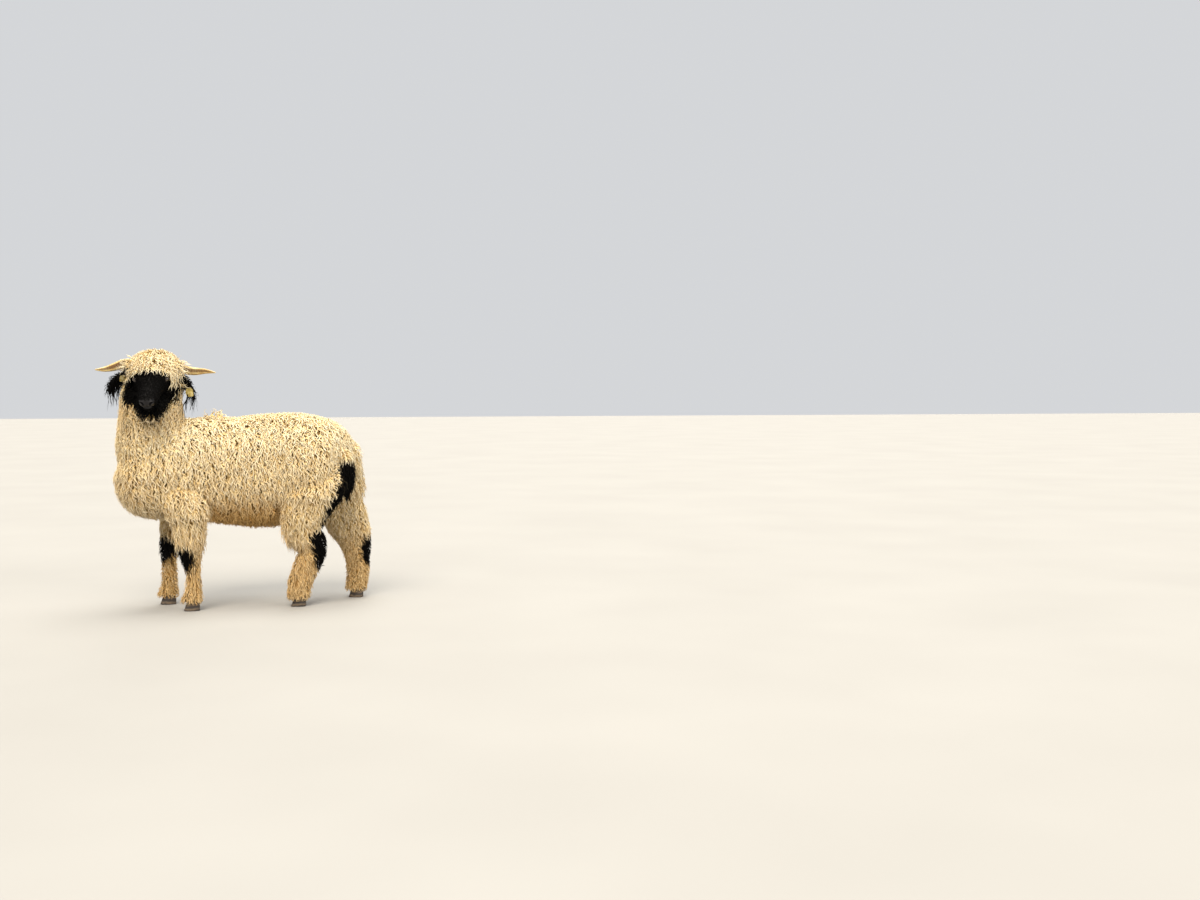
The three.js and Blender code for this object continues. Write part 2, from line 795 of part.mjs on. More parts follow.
// Where the body is parted: planes by a point and the way that they face
const HEAD_CUT = [new THREE.Vector3(-330, -165, 822), new THREE.Vector3(0, -0.433, 0.901).normalize()];
const FACE_CUT = [onHead(66, 0, 0), headDirection(0.97, 0, 0.2)];
const NECK_CUT = [new THREE.Vector3(-215, 0, 775), new THREE.Vector3(-0.47, -0.03, 0.88).normalize()];
const LEG_SPACE = { margin: 46, crest: 34, strip: 22 };
const LEG_CUTS = {
  foreleg_left: { other: "foreleg_right", from: "elbow", knee: 226 },
  foreleg_right: { other: "foreleg_left", from: "elbow", knee: 226 },
  hindleg_left: { other: "hindleg_right", from: "thigh", knee: 236 },
  hindleg_right: { other: "hindleg_left", from: "thigh", knee: 236 },
};

// The space that a leg's node takes from the body: a wide sleeve round the leg, on its own side of her
function legSpace(name, grow) {
  const leg = LEGS[name];
  const { other, from } = LEG_CUTS[name];
  const names = Object.keys(leg.joints);
  const rows = names.slice(names.indexOf(from)).map((joint) => {
    const [across, deep] = leg.sizes[joint];
    return [...leg.joints[joint], across + LEG_SPACE.margin, deep + LEG_SPACE.margin];
  });
  const [x, y, z] = rows[0];
  const [endX, endY, , endAcross, endDeep] = rows[rows.length - 1];
  const stations = [
    [x, y, z + LEG_SPACE.crest, 20, 20],
    ...rows,
    [endX, endY, -20, endAcross, endDeep],
  ];
  const sleeve = solidOf(loft(stations, { sides: 8, rows: 6, up: legForward(leg), grow }));
  const mine = new THREE.Vector3(...leg.joints[from]);
  const theirs = new THREE.Vector3(...LEGS[other].joints[from]);
  const outward = mine.clone().sub(theirs).setZ(0).normalize();
  const side = halfSpace(mine.add(theirs).multiplyScalar(0.5), outward, LEG_SPACE.strip - grow);
  return sleeve.intersect(side);
}

const MATERIALS = {
  fleece: new THREE.MeshStandardMaterial({ color: 0xe9d2a4, roughness: 0.95, metalness: 0 }),
  black_wool: new THREE.MeshStandardMaterial({ color: 0x17130f, roughness: 0.9, metalness: 0 }),
  horn: new THREE.MeshStandardMaterial({ color: 0xc9ae6c, roughness: 0.5, metalness: 0 }),
  eye: new THREE.MeshStandardMaterial({ color: 0x2a1c10, roughness: 0.1, metalness: 0 }),
  hoof: new THREE.MeshStandardMaterial({ color: 0x4a3e33, roughness: 0.6, metalness: 0 }),
  ear_tag: new THREE.MeshStandardMaterial({ color: 0xcdb648, roughness: 0.45, metalness: 0 }),
};

function coreParts(grow) {
  const half = FLEECE / 2 - grow;
  const legWool = LEG_WOOL / 2 - grow;
  const legs = Object.values(LEGS).map((leg) =>
    solidOf(
      loft(legStations(leg, legWool, HOOF_HEIGHT - 7), {
        sides: 12,
        rows: 12,
        up: legForward(leg),
      }),
    ),
  );
  const neck = NECK.map(([x, y, z, across, deep]) => [x, y, z, across - half, deep - half]);
  return [
    solidOf(loft(trunkStations(half), { sides: 16, rows: 15, power: 2.3, level: true })),
    solidOf(loft(neck, { sides: 12, rows: 8, up: new THREE.Vector3(0, -1, 0.2) })),
    skull(grow),
    solidOf(loft(crownStations(CROWN_WOOL / 2 - grow), { sides: 16, rows: 10, up: headFrame.up })),
    ...legs,
  ];
}

function build() {
  const random = randomSource(28);
  const body = fuse(coreParts(0));
  const above = (cut, point) => point.clone().sub(cut[0]).dot(cut[1]);
  const tailMiddle = new THREE.Vector3(...TAIL[2].slice(0, 3));
  const coatAt = (point) => {
    if (above(HEAD_CUT, point) > -8) {
      return above(FACE_CUT, point) < -24 ? COAT.crown : null;
    }
    if (point.z < 62 || Math.hypot(point.x - tailMiddle.x, point.y - tailMiddle.y) < 30) return null;
    if (above(NECK_CUT, point) > 0) return COAT.neck;
    if (point.z < 225) return COAT.shank;
    if (point.z < 332) return COAT.leg;
    return point.z < 480 && point.x > 130 ? COAT.thigh : COAT.trunk;
  };
  const roots = clumpsOver(body, coatAt, random);
  const crownRoots = roots.filter(({ coat }) => coat === COAT.crown);
  const bodyRoots = roots.filter(({ coat }) => coat !== COAT.crown);

  const nodes = new Map();
  const horns = { left: horn(1, 0), right: horn(-1, 0) };
  const earSolids = { left: ear(EARS.left, 0), right: ear(EARS.right, 0) };
  const grownEars = [ear(EARS.left, GAP), ear(EARS.right, GAP)];
  const grownHorns = [horn(1, GAP), horn(-1, GAP)];
  const tags = { left: tag(EARS.left, 0), right: tag(EARS.right, 0) };
  const grownTags = [tag(EARS.left, GAP), tag(EARS.right, GAP)];
  const onHeadPieces = fuse([...grownEars, ...grownHorns, ...grownTags]);

  const whole = fuse([body, ...bodyRoots.map((root) => clump(root, 0))]);
  const crownClumps = fuse(crownRoots.map((root) => clump(root, 0)));
  const grownCrown = fuse(crownRoots.map((root) => clump(root, GAP)));

  const headSide = halfSpace(HEAD_CUT[0], HEAD_CUT[1], GAP / 2);
  const bodySide = halfSpace(HEAD_CUT[0], HEAD_CUT[1].clone().negate(), GAP / 2);
  const faceSide = halfSpace(FACE_CUT[0], FACE_CUT[1], GAP / 2);
  const crownSide = halfSpace(FACE_CUT[0], FACE_CUT[1].clone().negate(), GAP / 2);
  const neckSide = halfSpace(NECK_CUT[0], NECK_CUT[1], GAP / 2);
  const trunkSide = halfSpace(NECK_CUT[0], NECK_CUT[1].clone().negate(), GAP / 2);

  // The head: its face, with lids, lips, nostrils and mouth, and its woolly crown
  const head = whole.intersect(headSide);
  let face = fuse([
    head.intersect(faceSide),
    beard(0),
    ...lips(),
    brow(1),
    brow(-1),
    lidShell(1),
    lidShell(-1),
  ]);
  for (const side of [1, -1]) {
    face = face.subtract(lidOpening(side)).subtract(nostril(side));
    face = face.subtract(ball(eyePlace(side), EYE_RADIUS + GAP, 12, 7));
  }
  face = face.subtract(mouthGroove()).subtract(grownCrown).subtract(onHeadPieces);
  nodes.set("head_face", ["black_wool", face]);
  const crown = fuse([head.intersect(crownSide), crownClumps]).subtract(
    fuse([onHeadPieces, beard(GAP)]),
  );
  nodes.set("head_crown", ["fleece", crown]);
  for (const [name, side] of [
    ["left", 1],
    ["right", -1],
  ]) {
    nodes.set(`eye_${name}`, ["eye", ball(eyePlace(side), EYE_RADIUS, 12, 7)]);
    nodes.set(`horn_${name}`, ["horn", horns[name]]);
    const grownTag = grownTags[side > 0 ? 0 : 1];
    const grownHorn = grownHorns[side > 0 ? 0 : 1];
    nodes.set(`ear_${name}`, ["black_wool", earSolids[name].subtract(grownTag).subtract(grownHorn)]);
    nodes.set(`ear_tag_${name}`, ["ear_tag", tags[name]]);
  }

  // The neck, trunk and legs
  const below = whole.intersect(bodySide).subtract(fuse([grownCrown, onHeadPieces, beard(GAP)]));
  nodes.set("neck", ["fleece", below.intersect(neckSide)]);
  let trunk = below.intersect(trunkSide).subtract(tail(GAP));
  for (const [name, leg] of Object.entries(LEGS)) {
    const cut = LEG_CUTS[name];
    const claws = [claw(leg, 1, 0), claw(leg, -1, 0)];
    const limb = trunk.intersect(legSpace(name, 0));
    trunk = trunk.subtract(legSpace(name, GAP));
    const knee = new THREE.Vector3(0, 0, cut.knee);
    nodes.set(`${name}_upper`, ["fleece", limb.intersect(halfSpace(knee, UP, GAP / 2))]);
    const lower = limb.intersect(halfSpace(knee, UP.clone().negate(), GAP / 2));
    const grownClaws = fuse([claw(leg, 1, GAP), claw(leg, -1, GAP)]);
    nodes.set(`${name}_lower`, ["fleece", lower.subtract(grownClaws)]);
    nodes.set(`${name}_claw_outer`, ["hoof", claws[0]]);
    nodes.set(`${name}_claw_inner`, ["hoof", claws[1]]);
  }
  nodes.set("torso", ["fleece", trunk]);
  nodes.set("tail", ["black_wool", tail(0)]);
  return nodes;
}

// The part's origin is on the floor, under the middle of her bounding box
const sheep = new THREE.Group();
const stance = new THREE.Group();
sheep.add(stance);
for (const [name, [material, solid]] of build()) {
  const mesh = new THREE.Mesh(geometryOf(largest(solid)), MATERIALS[material]);
  mesh.name = name;
  stance.add(mesh);
}
const middle = new THREE.Box3().setFromObject(stance).getCenter(new THREE.Vector3());
stance.position.set(-middle.x, -middle.y, 0);

export default sheep;
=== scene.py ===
"""A life-size Valais Blacknose ewe, a still model, dressed for the render.

Her sizes are millimetres in the design frame of her solids: she faces -X, her left side is towards -Y and her
soles are at zero. One skin takes the place of the solids of flesh, and her wool is solid locks rooted on it.
"""

import logging
import math
from dataclasses import dataclass, field
from enum import Enum
from typing import Callable, Iterable, Sequence

import bmesh
import bpy
import numpy as np
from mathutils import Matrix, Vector


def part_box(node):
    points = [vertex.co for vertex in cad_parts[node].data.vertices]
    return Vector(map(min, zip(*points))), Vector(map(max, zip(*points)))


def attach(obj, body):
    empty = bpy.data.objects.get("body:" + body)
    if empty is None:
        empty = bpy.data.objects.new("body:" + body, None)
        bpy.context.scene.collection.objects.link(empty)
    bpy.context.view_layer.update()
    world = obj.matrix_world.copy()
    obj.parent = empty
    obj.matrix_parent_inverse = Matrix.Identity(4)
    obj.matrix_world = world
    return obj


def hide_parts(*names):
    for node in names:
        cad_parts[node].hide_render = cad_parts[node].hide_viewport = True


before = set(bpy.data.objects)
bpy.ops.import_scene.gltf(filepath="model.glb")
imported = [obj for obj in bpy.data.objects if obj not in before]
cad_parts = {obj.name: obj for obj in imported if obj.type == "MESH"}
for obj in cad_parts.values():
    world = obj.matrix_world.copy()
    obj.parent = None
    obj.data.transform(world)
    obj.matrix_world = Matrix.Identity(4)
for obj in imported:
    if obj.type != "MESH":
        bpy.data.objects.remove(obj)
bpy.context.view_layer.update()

LOG = logging.getLogger("ewe")

# Driving sizes, the same as those of the solids
WITHERS = 783.0
TRUNK_LENGTH = 902.0
RUMP_X = 424.0
BARREL_HALF = 208.0
FLEECE = 60.0
LEG_WOOL = 34.0
CROWN_WOOL = 52.0
FACE_WOOL = 5.0
TAIL_WOOL = 26.0
HOOF_HEIGHT = 38.0
CORONET = 4.0
SPINE_BOW = (0.0005, 0.00095)
SPINE_MID = (40.0, 52.0)

UP = np.array([0.0, 0.0, 1.0])
LEFT_SIDE = 1
RIGHT_SIDE = -1
FAR = 1e9

Array = np.ndarray
Material = bpy.types.Material
Mesh = bmesh.types.BMesh
Node = bpy.types.Node
Object = bpy.types.Object
Socket = bpy.types.NodeSocket
Tree = bpy.types.NodeTree
Vert = bmesh.types.BMVert


def unit(vectors: Array) -> Array:
    """Scale vectors to a length of one.

    Args:
        vectors: one vector, or one in each row.

    Returns:
        The same vectors, each of length one.
    """
    lengths = np.linalg.norm(vectors, axis=-1, keepdims=True)
    return vectors / np.maximum(lengths, 1e-9)


def ramp(value: Array, low: float, high: float) -> Array:
    """Rise smoothly from 0 at low to 1 at high.

    Args:
        value: the numbers to place on the ramp.
        low: where the ramp starts.
        high: where it ends, which may be below low.

    Returns:
        Numbers from 0 to 1.
    """
    share = np.clip((value - low) / (high - low), 0.0, 1.0)
    return share * share * (3.0 - 2.0 * share)


def rounded(value: Array, power: float) -> Array:
    """Turn the sine or cosine of a circle into that of a squarer oval."""
    return np.sign(value) * np.abs(value) ** (2.0 / power)


def curve(points: Array, share: Array) -> Array:
    """Follow a centripetal Catmull-Rom curve, as the solids do.

    Args:
        points: the points that the curve runs through, one in each row.
        share: how far along the points to go, from 0 to 1.

    Returns:
        The curve's point at each share, one in each row.
    """
    before = 2 * points[0] - points[1]
    after = 2 * points[-1] - points[-2]
    every = np.vstack([before, points, after])
    place = np.clip(share, 0.0, 1.0) * (len(points) - 1)
    start = np.minimum(place.astype(int), len(points) - 2)
    t = (place - start)[:, None]
    p0, p1, p2, p3 = (every[start + step] for step in range(4))
    d0, d1, d2 = (np.linalg.norm(b - a, axis=1)[:, None] ** 0.5 for a, b in ((p0, p1), (p1, p2), (p2, p3)))
    m1 = ((p1 - p0) / d0 - (p2 - p0) / (d0 + d1) + (p2 - p1) / d1) * d1
    m2 = ((p2 - p1) / d1 - (p3 - p1) / (d1 + d2) + (p3 - p2) / d2) * d1
    square = -3 * p1 + 3 * p2 - 2 * m1 - m2
    cube = 2 * p1 - 2 * p2 + m1 + m2
    return p1 + m1 * t + square * t**2 + cube * t**3


def tangents(points: Array, share: Array) -> Array:
    """Give the direction of the curve through points at each share of its length."""
    step = 1e-4
    ahead, behind = np.minimum(share + step, 1), np.maximum(share - step, 0)
    return unit(curve(points, ahead) - curve(points, behind))


def spine_y(x: Array | float) -> Array:
    """Give the spine's sideways place at each place along her."""
    bow = np.where(x < SPINE_MID[0], *SPINE_BOW)
    return SPINE_MID[1] - bow * (x - SPINE_MID[0]) ** 2


def on_side(place: Sequence[float], side: int) -> tuple[float, float, float]:
    """Turn a place or direction on the left of her head into the one on a side."""
    along, out, up = place
    return along, side * out, up


@dataclass(frozen=True)
class HeadFrame:
    """The head's own frame: along the nose, to her left, and up, from the poll."""

    poll: tuple[float, float, float] = (-328.0, -62.0, 950.0)
    turn: float = 5.0
    pitch: float = 26.0
    tilt: float = 1.5

    def axes(self) -> Array:
        """Give the three directions, one in each row."""
        turn, pitch, tilt = (math.radians(angle) for angle in (self.turn, self.pitch, self.tilt))
        level = np.array([-math.sin(turn), -math.cos(turn), 0.0])
        along = level * math.cos(pitch) - UP * math.sin(pitch)
        left = unit(np.cross(UP, along))
        left = left * math.cos(tilt) + np.cross(along, left) * math.sin(tilt)
        return np.array([along, left, np.cross(along, left)])

    def place(self, head_points: Array) -> Array:
        """Turn places in the head's frame into places in the design frame."""
        return np.asarray(self.poll) + np.asarray(head_points, dtype=float) @ self.axes()

    def direction(self, head_vector: Sequence[float]) -> Array:
        """Turn a direction in the head's frame into a unit one in the design frame."""
        return unit(np.asarray(head_vector, dtype=float) @ self.axes())

    def inside(self, points: Array) -> Array:
        """Turn places in the design frame into places in the head's frame."""
        return (points - np.asarray(self.poll)) @ self.axes().T


HEAD = HeadFrame()


@dataclass(frozen=True)
class EyeSize:
    """The eyes and the lids round them, in the head's frame."""

    radius: float = 13.0
    place: tuple[float, float, float] = (92.0, 56.0, 20.0)
    gaze: tuple[float, float, float] = (0.5, 0.84, 0.12)
    opening: float = 13.0
    half_height: float = 6.6
    droop: float = 0.28
    lid: float = 2.0
    sunk: float = 3.0

    def centre(self, side: int) -> Array:
        """Give the eye's centre in the design frame."""
        return HEAD.place(on_side(self.place, side))

    def axes(self, side: int) -> Array:
        """Give the directions towards the nose, up and out of the eye, one in each row."""
        out = HEAD.direction(on_side(self.gaze, side))
        along = HEAD.axes()[0]
        nose = unit(along - out * (along @ out))
        return np.array([nose, np.cross(out, nose) * side, out])


EYE = EyeSize()


def design_shift() -> Array:
    """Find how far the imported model's origin lies from the design frame's, from the left eye's place."""
    low, high = (np.array(corner) * 1000 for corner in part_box("eye_left"))
    return (low + high) / 2 - EYE.centre(LEFT_SIDE)


SHIFT = design_shift()


def metres(points: Array) -> Array:
    """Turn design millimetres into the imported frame's metres."""
    return (np.asarray(points) + SHIFT) / 1000


def millimetres(points: Array) -> Array:
    """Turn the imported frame's metres into design millimetres."""
    return np.asarray(points) * 1000 - SHIFT


def positions(verts: Iterable[Vert]) -> Array:
    """Read where vertices are, one in each row."""
    return np.array([vert.co[:] for vert in verts])


def move(verts: Iterable[Vert], points: Iterable[Array]) -> None:
    """Move vertices to places in the design frame."""
    for vert, place in zip(verts, metres(points)):
        vert.co = place


def smooth(mesh: Mesh, verts: list[Vert]) -> None:
    """Bring vertices halfway towards the middle of their neighbours."""
    bmesh.ops.smooth_vert(mesh, verts=verts, factor=0.5, use_axis_x=True, use_axis_y=True, use_axis_z=True)


def level_edge(edge: bmesh.types.BMEdge, slack: float) -> bool:
    """Tell whether both ends of an edge are at one height."""
    return abs(edge.verts[0].co.z - edge.verts[1].co.z) <= slack


def round_rims(mesh: Mesh, rims: list[bmesh.types.BMEdge], offset: float) -> None:
    """Round edges by a small bevel of two steps."""
    bmesh.ops.bevel(mesh, geom=rims, offset=offset, affect="EDGES", segments=2, profile=0.5, material=-1)


def loft(
    mesh: Mesh,
    stations: Sequence[Sequence[float]],
    sides: int,
    rows: int,
    up: Array = UP,
    power: float = 2.0,
    grow: float = 0.0,
    level: bool = False,
    section: Callable[[Array, Array, Array], tuple[Array, Array]] | None = None,
) -> Array:
    """Add a closed body that runs through stations, by reshaping a sphere.

    Args:
        mesh: the bmesh that it is added to.
        stations: rows of x, y, z, half across, rise and, where it differs, drop.
        sides: how many sides a ring has.
        rows: how many rows of faces there are from end to end.
        up: the direction that the rise is measured in.
        power: 2 gives ovals, and more gives squarer ones.
        grow: how much thicker it is all round.
        level: keeps the rings upright.
        section: gives how much the half widths are scaled at each share, cosine and sine.

    Returns:
        The share, cosine and sine of each new vertex.
    """
    table = np.array([[*row[:5], row[5] if len(row) > 5 else row[4]] for row in stations])
    made = bmesh.ops.create_uvsphere(mesh, u_segments=sides, v_segments=rows, radius=1.0)["verts"]
    sphere = positions(made)
    row = np.rint(np.arccos(np.clip(sphere[:, 2], -1, 1)) / math.pi * rows)
    share = row / rows
    angle = np.arctan2(sphere[:, 1], sphere[:, 0])
    tangent = tangents(table[:, :3], share)
    if level:
        tangent = unit(tangent * np.array([1.0, 1.0, 0.0]))
    across = unit(np.cross(up, tangent))
    rise = np.cross(tangent, across)
    end = np.where(row == 0, -1, np.where(row == rows, 1, 0))[:, None]
    size = np.maximum(curve(table[:, 3:], share) + grow, 1.0)
    cosine = rounded(np.cos(angle), power)
    sine = rounded(np.sin(angle), power)
    wide, high = section(share, cosine, sine) if section else (1.0, 1.0)
    half = size[:, 0] * wide * cosine * (end[:, 0] == 0)
    height = np.where(sine > 0, size[:, 1], size[:, 2]) * high * sine * (end[:, 0] == 0)
    middle = curve(table[:, :3], share) + tangent * end * grow
    move(made, middle + across * half[:, None] + rise * height[:, None])
    return np.column_stack([share, cosine, sine])


def linked(name: str, data: bpy.types.ID) -> Object:
    """Make an object of a mesh, light or camera, and link it to the scene."""
    made = bpy.data.objects.new(name, data)
    bpy.context.scene.collection.objects.link(made)
    return made


def finished_object(mesh: Mesh, name: str, finish: Material) -> Object:
    """Make an object of a bmesh, with its normals outwards and its faces smooth.

    Args:
        mesh: the piece, which is freed.
        name: the piece's name.
        finish: its material.

    Returns:
        The object, linked to the scene.
    """
    bmesh.ops.recalc_face_normals(mesh, faces=mesh.faces)
    for face in mesh.faces:
        face.smooth = True
    data = bpy.data.meshes.new(name)
    mesh.to_mesh(data)
    mesh.free()
    data.materials.append(finish)
    return linked(name, data)


def store(data: bpy.types.Mesh, name: str, values: Array) -> None:
    """Keep one number for each vertex of a mesh, for its material to read."""
    layer = data.attributes.new(name, "FLOAT", "POINT")
    layer.data.foreach_set("value", np.ascontiguousarray(values, dtype=np.float32))


def store_map(data: bpy.types.Mesh, name: str, places: Array) -> None:
    """Keep a map of a mesh, with one place for each corner of its faces."""
    data.uv_layers.new(name=name).uv.foreach_set("vector", places.astype(np.float32).ravel())


def read(items: bpy.types.bpy_prop_collection, name: str, size: int, kind: type = np.float32) -> Array:
    """Read one property of every item of a mesh.

    Args:
        items: the mesh's vertices, corners, triangles or places in a map.
        name: the property.
        size: how many numbers it has.
        kind: the type of its numbers.

    Returns:
        The numbers, one row for each item.
    """
    values = np.empty(len(items) * size, dtype=kind)
    items.foreach_get(name, values)
    return values.reshape(-1, size)


# Her shape: the tables of the solids

TRUNK = (
    (0.0, 0.77, 0.7, 0.1),
    (0.006, 0.865, 0.62, 0.54),
    (0.022, 0.935, 0.56, 0.76),
    (0.058, 0.975, 0.51, 0.87),
    (0.12, 1.0, 0.465, 0.93),
    (0.22, 1.014, 0.42, 0.96),
    (0.35, 1.007, 0.4, 1.0),
    (0.5, 0.991, 0.413, 0.98),
    (0.65, 0.992, 0.434, 0.92),
    (0.79, 0.98, 0.455, 0.85),
    (0.89, 0.92, 0.475, 0.76),
    (0.95, 0.86, 0.505, 0.62),
    (0.985, 0.8, 0.555, 0.42),
    (1.0, 0.725, 0.62, 0.1),
)
NECK = (
    (-200, 20, 560, 90, 90),
    (-285, 8, 600, 160, 156),
    (-330, -6, 660, 158, 154),
    (-344, -26, 745, 133, 138),
    (-343, -46, 830, 123, 126),
    (-340, -58, 900, 118, 112),
    (-338, -62, 950, 98, 90),
    (-336, -64, 992, 30, 26),
)
SKULL = (
    (-22, 20, 22, 22),
    (-8, 46, 44, 50),
    (22, 60, 56, 74),
    (58, 68, 60, 82),
    (92, 68, 56, 74),
    (124, 54, 43, 60),
    (160, 45, 35, 54),
    (196, 41, 32, 50),
    (226, 40, 27, 46),
    (243, 31, 17, 34),
    (250, 12, 7, 10),
)
SKULL_DIP = -6.0
JAW_TAPER = 0.42
CROWN = (
    (-90, -12, 30, 30),
    (-66, -4, 88, 72),
    (-22, 4, 104, 88),
    (28, 14, 102, 80),
    (66, 24, 84, 66),
    (90, 32, 58, 44),
    (100, 34, 20, 16),
)
BEARD = (
    (70, -40, 30, 30),
    (92, -46, 72, 52),
    (130, -52, 70, 52),
    (170, -58, 56, 46),
    (204, -60, 42, 38),
    (224, -60, 14, 14),
)
TAIL = (
    (378, -74, 640, 18, 18),
    (408, -94, 616, 33, 28),
    (421, -103, 565, 36, 30),
    (422, -104, 510, 33, 28),
    (416, -101, 468, 24, 22),
    (410, -99, 446, 6, 6),
)
TAIL_FACING = np.array([-0.85, 0.53, 0.0])


@dataclass(frozen=True)
class Leg:
    """One leg over its wool: joints from top to floor as x, y, z, half across and half fore and aft."""

    name: str
    turn: float
    joints: tuple[tuple[float, float, float, float, float], ...]

    def forward(self) -> Array:
        """Give the direction that the toes point in."""
        angle = math.radians(-self.turn)
        return np.array([-math.cos(angle), -math.sin(angle), 0.0])

    def stations(self, inset: float) -> list[tuple[float, ...]]:
        """Give the leg's stations for a loft, thinner by inset all round.

        Args:
            inset: the depth of the wool that is left off.

        Returns:
            Rows of x, y, z, half across and half fore and aft, from above the top joint to the coronet.
        """
        rows = []
        for x, y, z, across, deep in self.joints:
            shrink = inset * (0.25 if z <= HOOF_HEIGHT else 1.0)
            rows.append((x, y, z, across - shrink, deep - shrink))
        x, y, z, _, _ = rows[0]
        end_x, end_y, end_z, across, deep = rows[-1]
        below = end_z - 7
        return [
            (x, y, z + 40, 20, 20),
            *rows,
            (end_x, end_y, below + 6, across * 0.9, deep * 0.9),
            (end_x, end_y, below, 10, 10),
        ]


LEGS = (
    Leg(
        "foreleg_left",
        -8,
        (
            (-262, -92, 520, 52, 92),
            (-212, -116, 420, 62, 80),
            (-200, -116, 330, 54, 64),
            (-198, -110, 238, 43, 46),
            (-190, -108, 160, 33, 31),
            (-190, -107, 88, 33, 35),
            (-196, -107, 38, 27, 31),
        ),
    ),
    Leg(
        "foreleg_right",
        -14,
        (
            (-285, 88, 520, 52, 92),
            (-262, 104, 420, 62, 70),
            (-274, 100, 330, 52, 52),
            (-290, 94, 238, 40, 37),
            (-290, 92, 160, 33, 31),
            (-290, 91, 88, 33, 35),
            (-296, 91, 38, 27, 31),
        ),
    ),
    Leg(
        "hindleg_left",
        6,
        (
            (330, -78, 560, 60, 100),
            (286, -108, 480, 72, 118),
            (250, -118, 400, 66, 100),
            (240, -112, 320, 54, 80),
            (279, -104, 243, 45, 61),
            (254, -102, 163, 42, 54),
            (229, -102, 95, 41, 50),
            (222, -102, 38, 27, 33),
        ),
    ),
    Leg(
        "hindleg_right",
        14,
        (
            (394, 50, 640, 56, 84),
            (394, 72, 560, 60, 100),
            (386, 96, 490, 72, 118),
            (404, 104, 410, 66, 104),
            (438, 98, 325, 54, 92),
            (466, 92, 250, 46, 74),
            (478, 90, 165, 42, 54),
            (477, 90, 92, 41, 50),
            (470, 90, 38, 27, 33),
        ),
    ),
)

HORNS = {
    RIGHT_SIDE: (
        (16, 20, 34, 17, 13),
        (12, 50, 44, 20, 15),
        (4, 81, 46, 20, 14),
        (-4, 116, 42, 19, 13),
        (0, 150, 32, 16.5, 11),
        (14, 182, 30, 11, 7.5),
        (26, 203, 34, 6, 4.5),
        (34, 217, 38, 2, 2),
    ),
    LEFT_SIDE: (
        (16, 20, 30, 17, 13),
        (12, 50, 34, 20, 15),
        (4, 86, 24, 20, 14),
        (-4, 122, 10, 19, 13),
        (0, 158, 6, 16, 11),
        (14, 196, 12, 11, 7.5),
        (26, 222, 14, 6, 4.5),
        (34, 240, 14, 2, 2),
    ),
}

EAR_LINES = {
    LEFT_SIDE: ((14, 52, 2), (16, 86, -8), (20, 118, -34), (28, 136, -70), (36, 142, -104)),
    RIGHT_SIDE: ((14, 52, 14), (16, 88, 12), (20, 128, -4), (26, 160, -32), (32, 180, -68)),
}
SIDE_NAMES = {LEFT_SIDE: "left", RIGHT_SIDE: "right"}
TAG_PLACES = {LEFT_SIDE: 0.7, RIGHT_SIDE: 0.42}


@dataclass(frozen=True)
class EarShape:
    """An ear: a leaf about its centreline, whose edges curl forward into a cup."""

    side: int
    half: float = 31.0
    thick: float = 4.2
    cup: float = 17.0

    def line(self) -> Array:
        """Give the centreline's points in the design frame."""
        return HEAD.place([on_side(point, self.side) for point in EAR_LINES[self.side]])

    def frames(self, share: Array) -> tuple[Array, Array, Array]:
        """Give the centreline, the way that the cup faces and the way across it.

        Args:
            share: how far along the ear, from 0 at the head to 1 at the tip.

        Returns:
            The centre, face and width, one row each for every share.
        """
        line = self.line()
        tangent = tangents(line, share)
        facing = HEAD.direction((0.9, 0.0, -0.35))
        face = unit(facing - tangent * (tangent @ facing)[:, None])
        return curve(line, share), face, np.cross(tangent, face) * self.side

    def seat(self, share: float) -> tuple[Array, Array]:
        """Give the centreline's point at one share, and the way that the cup faces there."""
        centre, face, _ = self.frames(np.array([share]))
        return centre[0], face[0]

    def half_width(self, share: Array) -> Array:
        """Give half the width of the leaf at each share of its length."""
        return self.half * np.sin(math.pi * (0.12 + 0.88 * share**0.85)) ** 0.62 + 2

    def surface(self, share: Array, across: Array, lift: Array) -> Array:
        """Give points on the leaf's curled middle surface, raised by lift.

        Args:
            share: how far along the ear.
            across: from -1 at one edge to 1 at the other.
            lift: height over the middle surface, to the front of it.

        Returns:
            The points, one in each row.
        """
        centre, face, width = self.frames(share)
        curl = self.cup * np.sin(math.pi * np.minimum(1, 0.25 + share * 0.75))
        half = np.nan_to_num(self.half_width(share))
        slope = np.arctan2(2 * curl * across, half)[:, None]
        out = face * np.cos(slope) - width * np.sin(slope)
        middle = centre + width * (across * half)[:, None] + face * (curl * across**2)[:, None]
        return middle + out * lift[:, None]


# Small node tools

WHITE = "#FFFFFF"
MIX_SHARE, MIX_FIRST, MIX_SECOND = 0, 6, 7
MIX_COLOUR = 2


def linear(colour: str) -> tuple[float, float, float, float]:
    """Turn an sRGB hex colour into a linear one.

    Args:
        colour: six hex digits after a hash sign.

    Returns:
        Red, green, blue and an alpha of 1.
    """
    parts = [int(colour[start : start + 2], 16) / 255 for start in (1, 3, 5)]
    made = [part / 12.92 if part <= 0.04045 else ((part + 0.055) / 1.055) ** 2.4 for part in parts]
    return made[0], made[1], made[2], 1.0


def connect(tree: Tree, node: Node, inputs: dict) -> None:
    """Give a node's inputs, by name or number, their values or the sockets that they are linked from."""
    for name, value in inputs.items():
        if isinstance(value, Socket):
            tree.links.new(value, node.inputs[name])
        else:
            node.inputs[name].default_value = value


def add_node(tree: Tree, kind: str, inputs: dict | None = None, **settings) -> Node:
    """Add a node with its settings, values and links.

    Args:
        tree: the material's node tree.
        kind: Blender's name of the node.
        inputs: a value, or a socket to link from, for each input by name or number.
        settings: the node's own properties.

    Returns:
        The node.
    """
    node = tree.nodes.new(kind)
    for name, value in settings.items():
        setattr(node, name, value)
    connect(tree, node, inputs or {})
    return node


